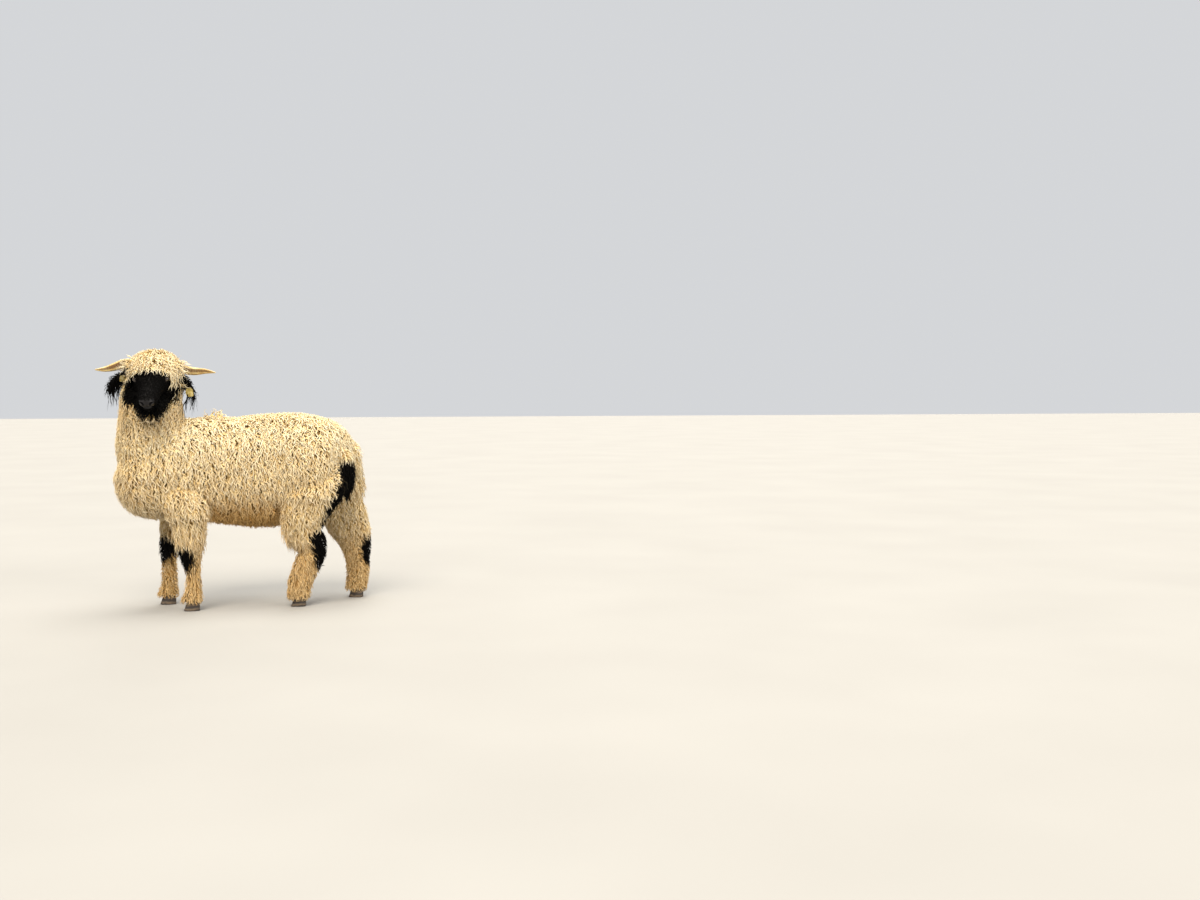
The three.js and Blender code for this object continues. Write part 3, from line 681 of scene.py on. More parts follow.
def colour_ramp(tree: Tree, value: Socket, *stops: tuple[float, str]) -> Socket:
    """Colour a value from 0 to 1 by stops of a place and an sRGB hex colour, and give the colour socket."""
    node = add_node(tree, "ShaderNodeValToRGB", {"Fac": value})
    while len(node.color_ramp.elements) < len(stops):
        node.color_ramp.elements.new(0.5)
    for element, (place, colour) in zip(node.color_ramp.elements, stops):
        element.position = place
        element.color = linear(colour)
    return node.outputs["Color"]


def attribute(tree: Tree, name: str) -> Socket:
    """Read a number that is kept on each vertex."""
    return add_node(tree, "ShaderNodeAttribute", attribute_name=name).outputs["Fac"]


def blend(tree: Tree, share: object, first: object, second: object, way: str = "MIX") -> Socket:
    """Mix two colours by a share, and give the colour socket."""
    inputs = {MIX_SHARE: share, MIX_FIRST: first, MIX_SECOND: second}
    return add_node(tree, "ShaderNodeMix", inputs, data_type="RGBA", blend_type=way).outputs[MIX_COLOUR]


def sums(tree: Tree, way: str, first: object, second: object = 0.0) -> Socket:
    """Join two numbers with a Math node, and give its socket."""
    return add_node(tree, "ShaderNodeMath", {0: first, 1: second}, operation=way).outputs[0]


def new_material(name: str) -> tuple[Material, Tree, Node]:
    """Start a material.

    Args:
        name: the material's name.

    Returns:
        The material, its node tree and its shader.
    """
    material = bpy.data.materials.new(name)
    material.use_nodes = True
    tree = material.node_tree
    return material, tree, tree.nodes["Principled BSDF"]


def object_place(tree: Tree) -> Socket:
    """Read the place on the piece, in metres."""
    return add_node(tree, "ShaderNodeTexCoord").outputs["Object"]


def noise(tree: Tree, where: Socket, grain: float, detail: float = 3.0) -> Socket:
    """Give a noise whose lumps are grain millimetres across."""
    values = {"Vector": where, "Scale": 1000 / grain, "Detail": detail}
    return add_node(tree, "ShaderNodeTexNoise", values).outputs["Fac"]


def strands(tree: Tree, map_name: str, across: float, along: float, detail: float) -> Socket:
    """Give a noise drawn out along a piece, from a map of it in millimetres.

    Args:
        tree: the material's node tree.
        map_name: the map's name, whose first axis runs across and whose second runs along.
        across: how wide the noise's lumps are, in millimetres.
        along: how long they are.
        detail: how many finer layers it has.

    Returns:
        The noise's socket.
    """
    flow = add_node(tree, "ShaderNodeUVMap", uv_map=map_name).outputs["UV"]
    scaled = add_node(tree, "ShaderNodeMapping", {"Vector": flow, "Scale": (1 / across, 1 / along, 1.0)})
    values = {"Vector": scaled.outputs["Vector"], "Scale": 1.0, "Detail": detail}
    return add_node(tree, "ShaderNodeTexNoise", values).outputs["Fac"]


def bump(tree: Tree, height: Socket, depth: float, strength: float = 1.0) -> Socket:
    """Turn a height from 0 to 1 into a normal, for a relief of depth millimetres."""
    values = {"Height": height, "Distance": depth / 1000, "Strength": strength}
    return add_node(tree, "ShaderNodeBump", values).outputs["Normal"]


# Finishes


@dataclass(frozen=True)
class RawFleece:
    """Unshorn wool, greasy and dull: honey at the root and cream at the weathered tip. The root is darker
    from grease and dirt and from painted shade deep in the fleece, and the lower body is more honey-coloured
    and darker from a honey tint and painted shade.

    The crimp across each lock and the fine strands along it give the eye its fibre.
    """

    # Along the lock: the root's darker colour is partly grease and dirt and partly painted shade deep in the
    # fleece.
    root: str = "#C9A263"
    middle: str = "#F5DDA2"
    tip: str = "#FFF9E2"
    # Colours of the lower body: a honey tint darkened by painted shade, most on the belly and legs.
    honey: str = "#E3BF82"
    dark_honey_shade: str = "#B08A54"
    dull: str = "#E0CAA2"
    bright: str = "#FFF9EA"
    gap: str = "#B39C78"
    black_root: str = "#020202"
    black_tip: str = "#080605"
    crimp_mm: float = 6.0
    strand_mm: float = 1.1
    relief_mm: float = 1.0
    tone_share: float = 0.75
    gap_share: float = 0.5

    def make(self) -> Material:
        """Make the material, which reads the lock's own share, its tone, its black marking, and its honey
        tint with painted shade.
        """
        material, tree, shader = new_material("raw_fleece")
        share = attribute(tree, "along")
        # Darker at the root from grease and dirt and from painted shade deep in the fleece, pale at the
        # weathered tip.
        pale = colour_ramp(tree, share, (0.0, self.root), (0.35, self.middle), (0.85, self.tip))
        # Lower on the body the lock goes to its honey tint and painted shade, darkest on the belly and legs.
        low = colour_ramp(tree, share, (0.0, self.root), (0.3, self.dark_honey_shade), (0.9, self.honey))
        wool = blend(tree, attribute(tree, "shade"), pale, low)
        tint = colour_ramp(tree, attribute(tree, "tone"), (0.0, self.dull), (0.5, WHITE), (1.0, self.bright))
        wool = blend(tree, self.tone_share, wool, tint, "MULTIPLY")
        dark = colour_ramp(tree, share, (0.0, self.black_root), (1.0, self.black_tip))
        colour = blend(tree, attribute(tree, "black"), wool, dark)
        lines = strands(tree, "LockUV", self.strand_mm, self.crimp_mm, detail=2.0)
        gaps = colour_ramp(tree, lines, (0.36, self.gap), (0.58, WHITE))
        look = {
            "Base Color": blend(tree, self.gap_share, colour, gaps, "MULTIPLY"),
            "Normal": bump(tree, lines, self.relief_mm, 0.8),
            "Roughness": 0.88,
            "Specular IOR Level": 0.08,
        }
        connect(tree, shader, look)
        return material


@dataclass(frozen=True)
class Hide:
    """Living skin under wool: pale and dusty on the body, black and leathery on the face, wet on the nose."""

    pale: str = "#DDBE86"
    dusty: str = "#BC9A62"
    black: str = "#080606"
    black_high: str = "#110E0C"
    nose: str = "#121011"
    nose_high: str = "#211E1F"
    pores_mm: float = 1.8
    folds_mm: float = 14.0
    relief_mm: float = 0.5
    dry: float = 0.8
    wet: float = 0.34

    def make(self) -> Material:
        """Make the material, which reads the black and bare markings on the skin."""
        material, tree, shader = new_material("hide")
        where = object_place(tree)
        folds = noise(tree, where, self.folds_mm)
        cells = {"Vector": where, "Scale": 1000 / self.pores_mm}
        pores = add_node(tree, "ShaderNodeTexVoronoi", cells, feature="DISTANCE_TO_EDGE").outputs["Distance"]
        grain = sums(tree, "MULTIPLY", pores, 2.0)
        pale = colour_ramp(tree, folds, (0.3, self.dusty), (0.7, self.pale))
        black = colour_ramp(tree, folds, (0.3, self.black), (0.7, self.black_high))
        nose = colour_ramp(tree, grain, (0.0, self.nose), (1.0, self.nose_high))
        bare = attribute(tree, "bare")
        colour = blend(tree, attribute(tree, "black"), pale, black)
        wetness = {"Value": bare, "To Min": self.dry, "To Max": self.wet}
        look = {
            "Base Color": blend(tree, bare, colour, nose),
            "Normal": bump(tree, sums(tree, "ADD", folds, grain), self.relief_mm, 0.5),
            "Roughness": add_node(tree, "ShaderNodeMapRange", wetness).outputs["Result"],
            "Specular IOR Level": 0.25,
        }
        connect(tree, shader, look)
        return material


@dataclass(frozen=True)
class HornKeratin:
    """Horn grown in rings: translucent honey, brown as painted shade in its front hollow and along its
    underside, and browner in the valleys of its rings and towards its base.
    """

    pale: str = "#EBD596"
    amber: str = "#C09A55"
    brown: str = "#5A3415"
    # The brown of painted shade in the front hollow and under the horn, also used in the ring valleys and at
    # the base.
    fibre: str = "#7A6248"
    stain_mm: float = 34.0
    fibre_mm: float = 1.2
    fibre_length_mm: float = 25.0
    relief_mm: float = 0.5
    fibre_share: float = 0.3

    def make(self) -> Material:
        """Make the material, which reads how far along the horn a point is and how brown it is painted:
        painted shade in the front hollow and under the horn, and browner ring valleys and base.
        """
        material, tree, shader = new_material("horn_keratin")
        stain = noise(tree, object_place(tree), self.stain_mm)
        fibres = strands(tree, "HornUV", self.fibre_mm, self.fibre_length_mm, detail=4.0)
        colour = colour_ramp(tree, stain, (0.32, self.amber), (0.62, self.pale))
        # Brown from the horn's mark: painted shade in the front hollow and under the horn, and browner ring
        # valleys and base.
        colour = blend(tree, attribute(tree, "groove"), colour, linear(self.brown))
        streaks = colour_ramp(tree, fibres, (0.3, self.fibre), (0.65, WHITE))
        look = {
            "Base Color": blend(tree, self.fibre_share, colour, streaks, "MULTIPLY"),
            "Normal": bump(tree, fibres, self.relief_mm, 0.5),
            "Roughness": 0.42,
            "IOR": 1.54,
            "Subsurface Weight": 0.12,
            "Subsurface Radius": (0.004, 0.002, 0.001),
        }
        connect(tree, shader, look)
        return material


@dataclass(frozen=True)
class WetEye:
    """A living eye under its tear film: dark brown iris, level slot of a pupil, thin rim of white."""

    pupil: str = "#020101"
    iris: str = "#3E2610"
    iris_edge: str = "#1A0F08"
    white: str = "#2E2019"
    slot_half_length: float = 0.36
    slot_half_height: float = 0.15
    slot_power: float = 3.0
    streak_share: float = 0.12

    def make(self) -> Material:
        """Make the material, which reads the place on the eye in the plane across its gaze."""
        material, tree, shader = new_material("wet_eye")
        gaze = add_node(tree, "ShaderNodeUVMap", uv_map="GazeUV").outputs["UV"]
        apart = add_node(tree, "ShaderNodeSeparateXYZ", {"Vector": gaze})
        radius = add_node(tree, "ShaderNodeVectorMath", {0: gaze}, operation="LENGTH").outputs["Value"]
        reaches = []
        for axis, half in (("X", self.slot_half_length), ("Y", self.slot_half_height)):
            off = sums(tree, "ABSOLUTE", sums(tree, "DIVIDE", apart.outputs[axis], half))
            reaches.append(sums(tree, "POWER", off, self.slot_power))
        streak = {"Vector": gaze, "Scale": 9.0, "Detail": 3.0}
        streaks = add_node(tree, "ShaderNodeTexNoise", streak).outputs["Fac"]
        ring = sums(tree, "ADD", radius, sums(tree, "MULTIPLY", streaks, self.streak_share))
        rings = ((0.3, self.iris_edge), (0.46, self.iris), (0.66, self.iris_edge), (0.76, self.white))
        slot = sums(tree, "ADD", *reaches)
        edge = {"Value": slot, "From Min": 0.85, "From Max": 1.15, "To Min": 1.0, "To Max": 0.0}
        inside = add_node(tree, "ShaderNodeMapRange", edge).outputs["Result"]
        look = {
            "Base Color": blend(tree, inside, colour_ramp(tree, ring, *rings), linear(self.pupil)),
            "Roughness": 0.06,
            "IOR": 1.376,
            "Coat Weight": 1.0,
            "Coat Roughness": 0.02,
        }
        connect(tree, shader, look)
        return material


@dataclass(frozen=True)
class HoofKeratin:
    """Hoof horn, dull and dark, with fine growth lines round it and dust in them."""

    dark: str = "#2A211A"
    dusty: str = "#6B5945"
    line_mm: float = 2.6
    mottle_mm: float = 9.0
    relief_mm: float = 0.5

    def make(self) -> Material:
        """Make the material, whose lines lie level round the hoof."""
        material, tree, shader = new_material("hoof_keratin")
        where = object_place(tree)
        bands = {"Vector": where, "Scale": 1000 / self.line_mm / 20, "Distortion": 3.0, "Detail": 2.0}
        lines = add_node(tree, "ShaderNodeTexWave", bands, bands_direction="Z").outputs["Fac"]
        dust = sums(tree, "MULTIPLY", lines, noise(tree, where, self.mottle_mm))
        look = {
            "Base Color": colour_ramp(tree, dust, (0.1, self.dark), (0.7, self.dusty)),
            "Normal": bump(tree, lines, self.relief_mm, 0.6),
            "Roughness": 0.62,
            "IOR": 1.54,
        }
        connect(tree, shader, look)
        return material


@dataclass(frozen=True)
class TagPlastic:
    """Moulded polyurethane of an ear tag, sun-bleached yellow with grime in its fine moulded grain."""

    yellow: str = "#BCA65A"
    bleached: str = "#D6CDA4"
    grime: str = "#7A6A3C"
    wear_mm: float = 12.0
    grain_mm: float = 0.9
    relief_mm: float = 0.15

    def make(self) -> Material:
        """Make the material, worn in patches and grained all over."""
        material, tree, shader = new_material("tag_plastic")
        where = object_place(tree)
        worn = noise(tree, where, self.wear_mm)
        grain = noise(tree, where, self.grain_mm, 1.0)
        colour = colour_ramp(tree, worn, (0.25, self.grime), (0.45, self.yellow), (0.75, self.bleached))
        look = {
            "Base Color": colour,
            "Normal": bump(tree, grain, self.relief_mm, 0.5),
            "Roughness": 0.5,
        }
        connect(tree, shader, look)
        return material


@dataclass(frozen=True)
class StudioFloor:
    """Matt painted floor of a studio, pale and even."""

    paint: str = "#9F9C97"
    worn: str = "#9B9893"
    cloud_mm: float = 900.0

    def make(self) -> Material:
        """Make the material, with faint clouds of wear."""
        material, tree, shader = new_material("studio_floor")
        cloud = noise(tree, object_place(tree), self.cloud_mm, 2.0)
        colour = colour_ramp(tree, cloud, (0.3, self.worn), (0.7, self.paint))
        connect(tree, shader, {"Base Color": colour, "Roughness": 0.9})
        return material


# Regions and markings


class Region(Enum):
    """Where on her body a lock of wool is rooted."""

    TRUNK = "trunk"
    NECK = "neck"
    CROWN = "crown"
    FACE = "face"
    CHEEK = "cheek"
    EAR = "ear"
    TAIL = "tail"
    THIGH = "thigh"
    SHANK = "shank"
    BARE = "bare"


HEAD_CUT = (np.array([-330.0, -165.0, 822.0]), unit(np.array([0.0, -0.433, 0.901])))
NECK_CUT = (np.array([-215.0, 0.0, 775.0]), unit(np.array([-0.47, -0.03, 0.88])))
TAIL_LINE = np.array(TAIL)[:, :3]


def beyond(points: Array, cut: tuple[Array, Array]) -> Array:
    """Give how far each point lies beyond a cut, which is a place on it and the direction across it."""
    return (points - cut[0]) @ cut[1]


def distance_to_line(points: Array, line: Array) -> Array:
    """Give each point's distance to a bent line.

    Args:
        points: the points, one in each row.
        line: the line's own points, one in each row.

    Returns:
        A distance for each point.
    """
    nearest = np.full(len(points), FAR)
    for start, end in zip(line[:-1], line[1:]):
        step = end - start
        share = np.clip(((points - start) @ step) / (step @ step), 0, 1)
        gap = np.linalg.norm(points - start - share[:, None] * step, axis=1)
        nearest = np.minimum(nearest, gap)
    return nearest


class Markings:
    """Where she is black and bare, and where her fleece takes a honey tint and painted shade, for the skin
    and the wool alike.
    """

    ear_reach = 38.0
    ear_start = 80.0
    tail_reach = 40.0
    tail_start = 385.0
    hip_top = 470.0
    elbow_top = 400.0
    leg_split = 120.0
    shank_top = 300.0
    tag_clearance = 25.0
    brow_line = 62.0
    jaw_line = -26.0
    lip_line = 222.0
    mask_edge = 66.0
    # How far each part goes to the honey tint and painted shade: honey and painted shade down the flank,
    # painted shade under the belly, dirt and painted shade on the shins.
    flank_honey_and_shade = 0.3
    belly_painted_shade = 0.7
    shin_dirt_and_shade = 0.45
    breast_honey = 0.35
    head_honey = 0.12

    def __init__(self, points: Array) -> None:
        """Take the points that the markings are asked for, in the design frame."""
        self.points = points
        self.head = HEAD.inside(points)
        self.on_head = beyond(points, HEAD_CUT) > 0
        self.near_ear = self.ear_distance() < self.ear_reach
        self.tail_distance = distance_to_line(points, TAIL_LINE)

    def ear_distance(self) -> Array:
        """Give the distance to the nearer ear's centreline, far for what lies within the skull."""
        gaps = [distance_to_line(self.points, EarShape(side).line()) for side in (LEFT_SIDE, RIGHT_SIDE)]
        return np.where(np.abs(self.head[:, 1]) > self.ear_start, np.minimum(*gaps), FAR)

    def face_edge(self) -> Array:
        """Give how far each point lies in front of the edge of the black mask."""
        along, left, up = self.head.T
        forehead = 10 * ramp(up, 10, 50) * ramp(np.abs(left), 50, 10)
        ragged = 4 * np.sin(left * 0.16 + 1.0)
        on_left = ramp(left, -30, 30)
        top = 34 - 24 * on_left
        cheek = ramp(up, top, top - 16) - ramp(up, -8 - 28 * on_left, -34 - 28 * on_left)
        throat = 34 * ramp(up, -50, -80)
        return along - (self.mask_edge + forehead + ragged - (24 + 20 * on_left) * cheek + throat)

    def regions(self) -> Array:
        """Name the region of each point.

        Returns:
            An array of Region members.
        """
        x, _, z = self.points.T
        along, _, up = self.head.T
        found = np.full(len(self.points), Region.TRUNK, dtype=object)
        found[beyond(self.points, NECK_CUT) > 0] = Region.NECK
        found[(z < self.hip_top) & (x > self.leg_split)] = Region.THIGH
        found[(z < self.elbow_top) & (x < self.leg_split)] = Region.THIGH
        found[z < self.shank_top] = Region.SHANK
        found[z < HOOF_HEIGHT + CORONET] = Region.BARE
        found[(self.tail_distance < self.tail_reach) & (x > self.tail_start)] = Region.TAIL
        found[self.on_head] = Region.CROWN
        mask = self.on_head & (self.face_edge() > 0)
        found[mask] = Region.FACE
        shaggy = (up < self.jaw_line) | (along < self.brow_line)
        found[mask & shaggy & (along < self.lip_line)] = Region.CHEEK
        found[self.near_ear] = Region.EAR
        for side, share in TAG_PLACES.items():
            centre, face = EarShape(side).seat(share)
            gap = self.points - centre
            found[(np.linalg.norm(gap, axis=1) < self.tag_clearance) & (gap @ face > 0)] = Region.BARE
        found[self.bare() > 0.5] = Region.BARE
        return found

    def bare(self) -> Array:
        """Give 1 on the nose leather, lips and lids, and 0 elsewhere."""
        along, left, up = self.head.T
        nose = ramp(along, 229, 237) * ramp(np.abs(left), 31, 25) * ramp(up, -38, -32) * ramp(up, 8, 2)
        lids = np.zeros(len(self.points))
        for side in (LEFT_SIDE, RIGHT_SIDE):
            towards_nose, high, out = ((self.points - EYE.centre(side)) @ EYE.axes(side).T).T
            gap = np.hypot(towards_nose / (EYE.opening + 3.5), high / (EYE.half_height + 4.0))
            lids = np.maximum(lids, ramp(gap, 1.1, 0.95) * (out > 0))
        return np.maximum(nose, lids) * self.on_head

    def black(self) -> Array:
        """Give 1 where skin and wool are black: mask, ears, knees, hocks and tail, and a strip down the rear
        of the near thigh that is partly black wool and partly painted shadow of the gap between the thighs.
        """
        x, _, z = self.points.T
        mask = ramp(self.face_edge(), -3, 3) * self.on_head
        ears = self.near_ear.astype(float)
        tail = ramp(self.tail_distance, 52, 42) * ramp(x, 368, 380) * ramp(z, 612, 594)
        patches = [patch.cover(self.points) for patch in PATCHES]
        return np.max([mask, ears, tail, *patches], axis=0)

    def shade(self) -> Array:
        """Give how far the fleece goes to its honey tint and painted shade, from 0 on the back through the
        legs to 1 on the belly: honey and painted shade down the flank, painted shade under the belly, and
        dirt and painted shade on the shins.
        """
        x, _, z = self.points.T
        flank = ramp(z, 780, 480) * self.flank_honey_and_shade
        belly = ramp(z, 520, 400) * ramp(np.abs(x - 10), 190, 120) * self.belly_painted_shade
        shin = ramp(z, 380, 180) * self.shin_dirt_and_shade
        breast = ramp(z, 620, 820) * (beyond(self.points, NECK_CUT) > 0) * self.breast_honey
        return np.where(self.on_head, self.head_honey, np.clip(flank + belly + shin + breast, 0, 1))


@dataclass(frozen=True)
class Patch:
    """A black patch of wool on a joint, or down the rear of the thigh as black wool and painted shadow: an
    upright oval about its centre.
    """

    centre: tuple[float, float, float]
    reach: tuple[float, float, float]

    def cover(self, points: Array) -> Array:
        """Give 1 within the patch, fading to 0 just outside it."""
        gaps = (points - np.array(self.centre)) / np.array(self.reach)
        return ramp(np.linalg.norm(gaps, axis=1), 1.12, 0.88)


PATCHES = (
    Patch((-228, -116, 236), (40, 64, 60)),
    Patch((-305, 84, 246), (32, 56, 62)),
    Patch((312, -110, 262), (46, 64, 46)),
    Patch((306, -110, 208), (26, 60, 48)),
    Patch((292, -134, 304), (34, 60, 26)),
    Patch((524, 84, 216), (38, 60, 68)),
    # Down the rear edge of the near thigh: black wool, and painted shadow of the gap between the thighs.
    Patch((382, -112, 470), (34, 60, 44)),
    Patch((356, -122, 416), (34, 64, 46)),
    Patch((334, -124, 364), (32, 64, 44)),
)


# The skin


@dataclass
class Skin:
    """One closed skin over all of her flesh, inside the wool by half of its depth."""

    voxel: float = 5.5
    fine_cuts: int = 2
    fleece_depth: float = FLEECE / 2
    leg_depth: float = LEG_WOOL / 2
    crown_depth: float = CROWN_WOOL / 2
    jaw_depths: tuple[float, float] = (30.0, 26.0)
    thinnest: float = 4.0
    brow_place: tuple[float, float, float] = (86.0, 52.0, 31.0)
    brow_facing: tuple[float, float, float] = (0.1, 0.75, 0.66)
    brow_halves: tuple[float, float, float] = (24.0, 10.0, 7.0)
    eye_reach: float = 28.0
    muzzle_start: float = 192.0
    muzzle_half: float = 110.0
    passes: tuple[int, int, int] = (6, 24, 90)
    head_gap: float = 12.0
    tail_gap: float = 45.0
    trunk_foot: float = 400.0
    breast_end: float = -150.0
    breast_foot: float = 560.0
    finish: Hide = field(default_factory=Hide)

    def bodies(self, mesh: Mesh) -> None:
        """Loft every part of her, one through another."""
        loft(mesh, self.trunk_stations(), sides=40, rows=48, power=2.3, level=True)
        depth = self.fleece_depth
        neck = [(x, y, z, across - depth, deep - depth) for x, y, z, across, deep in NECK]
        loft(mesh, neck, sides=32, rows=30, up=np.array([0.0, -1.0, 0.2]))
        for leg in LEGS:
            loft(mesh, leg.stations(self.leg_depth), sides=28, rows=48, up=leg.forward())
        self.head(mesh)
        tail = [(*row[:3], *(max(half - TAIL_WOOL / 2, self.thinnest) for half in row[3:])) for row in TAIL]
        loft(mesh, tail, sides=20, rows=18, up=TAIL_FACING)
        for side in (LEFT_SIDE, RIGHT_SIDE):
            self.ear(mesh, EarShape(side))

    def trunk_stations(self) -> list[tuple[float, ...]]:
        """Give the trunk's stations under the fleece."""
        depth = self.fleece_depth
        rows = []
        for share, top, bottom, width in TRUNK:
            x = RUMP_X - depth - share * (TRUNK_LENGTH - 2 * depth)
            half = max((top - bottom) / 2 * WITHERS - depth, 6)
            across = max(BARREL_HALF * width - depth, 6)
            rows.append((x, float(spine_y(x)), (top + bottom) / 2 * WITHERS, across, half))
        return rows

    def head(self, mesh: Mesh) -> None:
        """Loft the skull, the woolly crown, the flesh under the jaw and the brows."""
        up = HEAD.axes()[2]
        nose = SKULL[-1][0]
        skull = []
        for along, wide, rise, drop in SKULL:
            skull.append((*HEAD.place((along, 0, SKULL_DIP * along / nose)), wide, rise, drop))

        def taper(share: Array, _: Array, sine: Array) -> tuple[Array, Array]:
            """Narrow the head towards the jaw."""
            return 1 - JAW_TAPER * np.maximum(0, -sine) ** 1.6, np.ones(len(share))

        loft(mesh, skull, sides=48, rows=48, up=up, power=2.15, grow=-FACE_WOOL, section=taper)
        crown_depths = (self.crown_depth, self.crown_depth)
        soft_forms = ((CROWN, crown_depths, 36, 28), (BEARD, self.jaw_depths, 24, 16))
        for table, (side_depth, top_depth), sides, rows in soft_forms:
            stations = []
            for along, high, wide, deep in table:
                halves = max(wide - side_depth, self.thinnest), max(deep - top_depth, self.thinnest)
                stations.append((*HEAD.place((along, 0, high)), *halves))
            loft(mesh, stations, sides=sides, rows=rows, up=up)
        for side in (LEFT_SIDE, RIGHT_SIDE):
            self.brow(mesh, side)

    def brow(self, mesh: Mesh, side: int) -> None:
        """Add the bone over one eye, a flattened ball."""
        ball = bmesh.ops.create_uvsphere(mesh, u_segments=20, v_segments=12, radius=1.0)["verts"]
        out = HEAD.direction(on_side(self.brow_facing, side))
        along = unit(HEAD.axes()[0] - out * (HEAD.axes()[0] @ out))
        basis = np.array([along, np.cross(out, along), out]) * np.array(self.brow_halves)[:, None]
        centre = HEAD.place(on_side(self.brow_place, side))
        move(ball, [centre + np.array(vert.co) @ basis for vert in ball])

    def ear(self, mesh: Mesh, shape: EarShape) -> None:
        """Reshape a sphere into an ear's leaf."""
        made = bmesh.ops.create_uvsphere(mesh, u_segments=28, v_segments=30, radius=1.0)["verts"]
        sphere = positions(made)
        share = np.arccos(np.clip(sphere[:, 2], -1, 1)) / math.pi
        angle = np.arctan2(sphere[:, 1], sphere[:, 0])
        inner = np.hypot(sphere[:, 0], sphere[:, 1]) > 1e-4
        across = np.cos(angle) * inner * 0.9
        lift = np.sin(angle) * inner * (shape.thick * (1.7 - 0.7 * share) - 1.0)
        move(made, shape.surface(share * 0.97, across, lift))

    def build(self) -> Object:
        """Join the bodies into one closed skin, model her face on it, and mark and unwrap it.

        Returns:
            The skin's object.
        """
        mesh = bmesh.new()
        self.bodies(mesh)
        LOG.info("bodies are lofted")
        rough = finished_object(mesh, "rough_skin", self.finish.make())
        remesh = rough.modifiers.new("one_surface", "REMESH")
        remesh.mode = "VOXEL"
        remesh.voxel_size = self.voxel / 1000
        data = bpy.data.meshes.new_from_object(rough.evaluated_get(bpy.context.evaluated_depsgraph_get()))
        bpy.data.objects.remove(rough)
        data.name = "skin"
        LOG.info("one surface of %d faces", len(data.polygons))
        mesh = bmesh.new()
        mesh.from_mesh(data)
        self.settle(mesh)
        self.refine(mesh)
        self.sculpt(mesh)
        LOG.info("the face is modelled")
        bmesh.ops.triangulate(mesh, faces=[face for face in mesh.faces if len(face.verts) > 4])
        for face in mesh.faces:
            face.smooth = True
        mesh.to_mesh(data)
        mesh.free()
        skin = linked("skin", data)
        self.mark(data)
        self.unwrap(skin)
        LOG.info("the skin is unwrapped")
        return skin

    def settle(self, mesh: Mesh) -> None:
        """Smooth the steps of the voxels, and round the creases where neck and legs meet the trunk."""
        verts = list(mesh.verts)
        places = millimetres(positions(verts))
        body = beyond(places, HEAD_CUT) < -self.head_gap
        body &= (places[:, 2] > self.trunk_foot) & (distance_to_line(places, TAIL_LINE) > self.tail_gap)
        breast = body & (places[:, 0] < self.breast_end) & (places[:, 2] > self.breast_foot)
        for chosen, passes in zip((np.full(len(verts), True), body, breast), self.passes):
            moved = [verts[number] for number in np.flatnonzero(chosen)]
            for _ in range(passes):
                smooth(mesh, moved)

    def refine(self, mesh: Mesh) -> None:
        """Divide the faces round the eyes and on the muzzle, so that lids, nostrils and lips have room."""
        for cut in range(self.fine_cuts):
            chosen = set(self.in_detail(mesh, 6 - 3 * cut))
            edges = [edge for edge in mesh.edges if edge.verts[0] in chosen and edge.verts[1] in chosen]
            bmesh.ops.subdivide_edges(mesh, edges=edges, cuts=1, use_grid_fill=True)
            smooth(mesh, self.in_detail(mesh, 0))

    def in_detail(self, mesh: Mesh, margin: float) -> list[Vert]:
        """Choose the vertices that lie where the face is modelled finely.

        Args:
            mesh: the skin.
            margin: how much further to reach, in millimetres.

        Returns:
            The vertices.
        """
        verts = list(mesh.verts)
        places = HEAD.inside(millimetres(positions(verts)))
        folded = np.abs(places * (0, 1, 0)) + places * (1, 0, 1)
        near_eye = np.linalg.norm(folded - np.array(EYE.place), axis=1) < self.eye_reach + margin
        off_nose = np.hypot(places[:, 1], places[:, 2])
        muzzle = (places[:, 0] > self.muzzle_start - margin) & (off_nose < self.muzzle_half)
        return [verts[number] for number in np.flatnonzero(near_eye | muzzle)]

    def sculpt(self, mesh: Mesh) -> None:
        """Move the vertices of the face into lids, nostrils, lips and mouth."""
        mesh.normal_update()
        verts = self.in_detail(mesh, 0)
        normals = np.array([vert.normal[:] for vert in verts])
        points = self.nostrils(self.lips(millimetres(positions(verts)), normals))
        for side in (LEFT_SIDE, RIGHT_SIDE):
            points = self.lids(points, side)
        move(verts, points)

    @staticmethod
    def lips(points: Array, normals: Array) -> Array:
        """Raise the lips and chin, and cut the mouth's line and the groove under the nose."""
        along, left, up = HEAD.inside(points).T
        line = -27 - 8 * (1 - np.clip((along - 178) / 120, 0, 1)) ** 2
        front = ramp(along, 188, 206)
        mouth = np.exp(-(((up - line) / 2.0) ** 2)) * front * -4.5
        upper = np.exp(-(((up - line - 8) / 6.0) ** 2)) * front * 2.2
        lower = np.exp(-(((up - line + 8) / 6.0) ** 2)) * front * 2.6
        cleft = np.exp(-((left / 1.5) ** 2)) * ramp(along, 232, 240)
        cleft = cleft * ramp(up, -29, -26) * ramp(up, -6, -12) * -2.5
        pad = ramp(along, 226, 240) * ramp(np.abs(left), 30, 20) * ramp(up, -20, -14) * ramp(up, 10, 2) * 2.5
        return points + normals * (mouth + upper + lower + cleft + pad)[:, None]

    @staticmethod
    def nostrils(points: Array) -> Array:
        """Press in a slanting comma for each nostril, with a raised wing over it."""
        along, left, up = HEAD.inside(points).T
        forward = HEAD.axes()[0]
        slant = 0.75
        moved = points.copy()
        for side in (LEFT_SIDE, RIGHT_SIDE):
            across = left * side - 15
            high = up + 10
            long = across * math.sin(slant) + high * math.cos(slant)
            wide = across * math.cos(slant) - high * math.sin(slant)
            bend = wide - 0.05 * long**2
            inside = ramp(np.hypot(bend / 3.4, long / 10.0), 1.15, 0.7) * (along > 205)
            wing = np.exp(-(((np.hypot(bend / 6.5, long / 14.0) - 1.0) / 0.28) ** 2)) * (along > 212)
            moved += forward * (-9 * inside + 1.6 * wing)[:, None]
        return moved

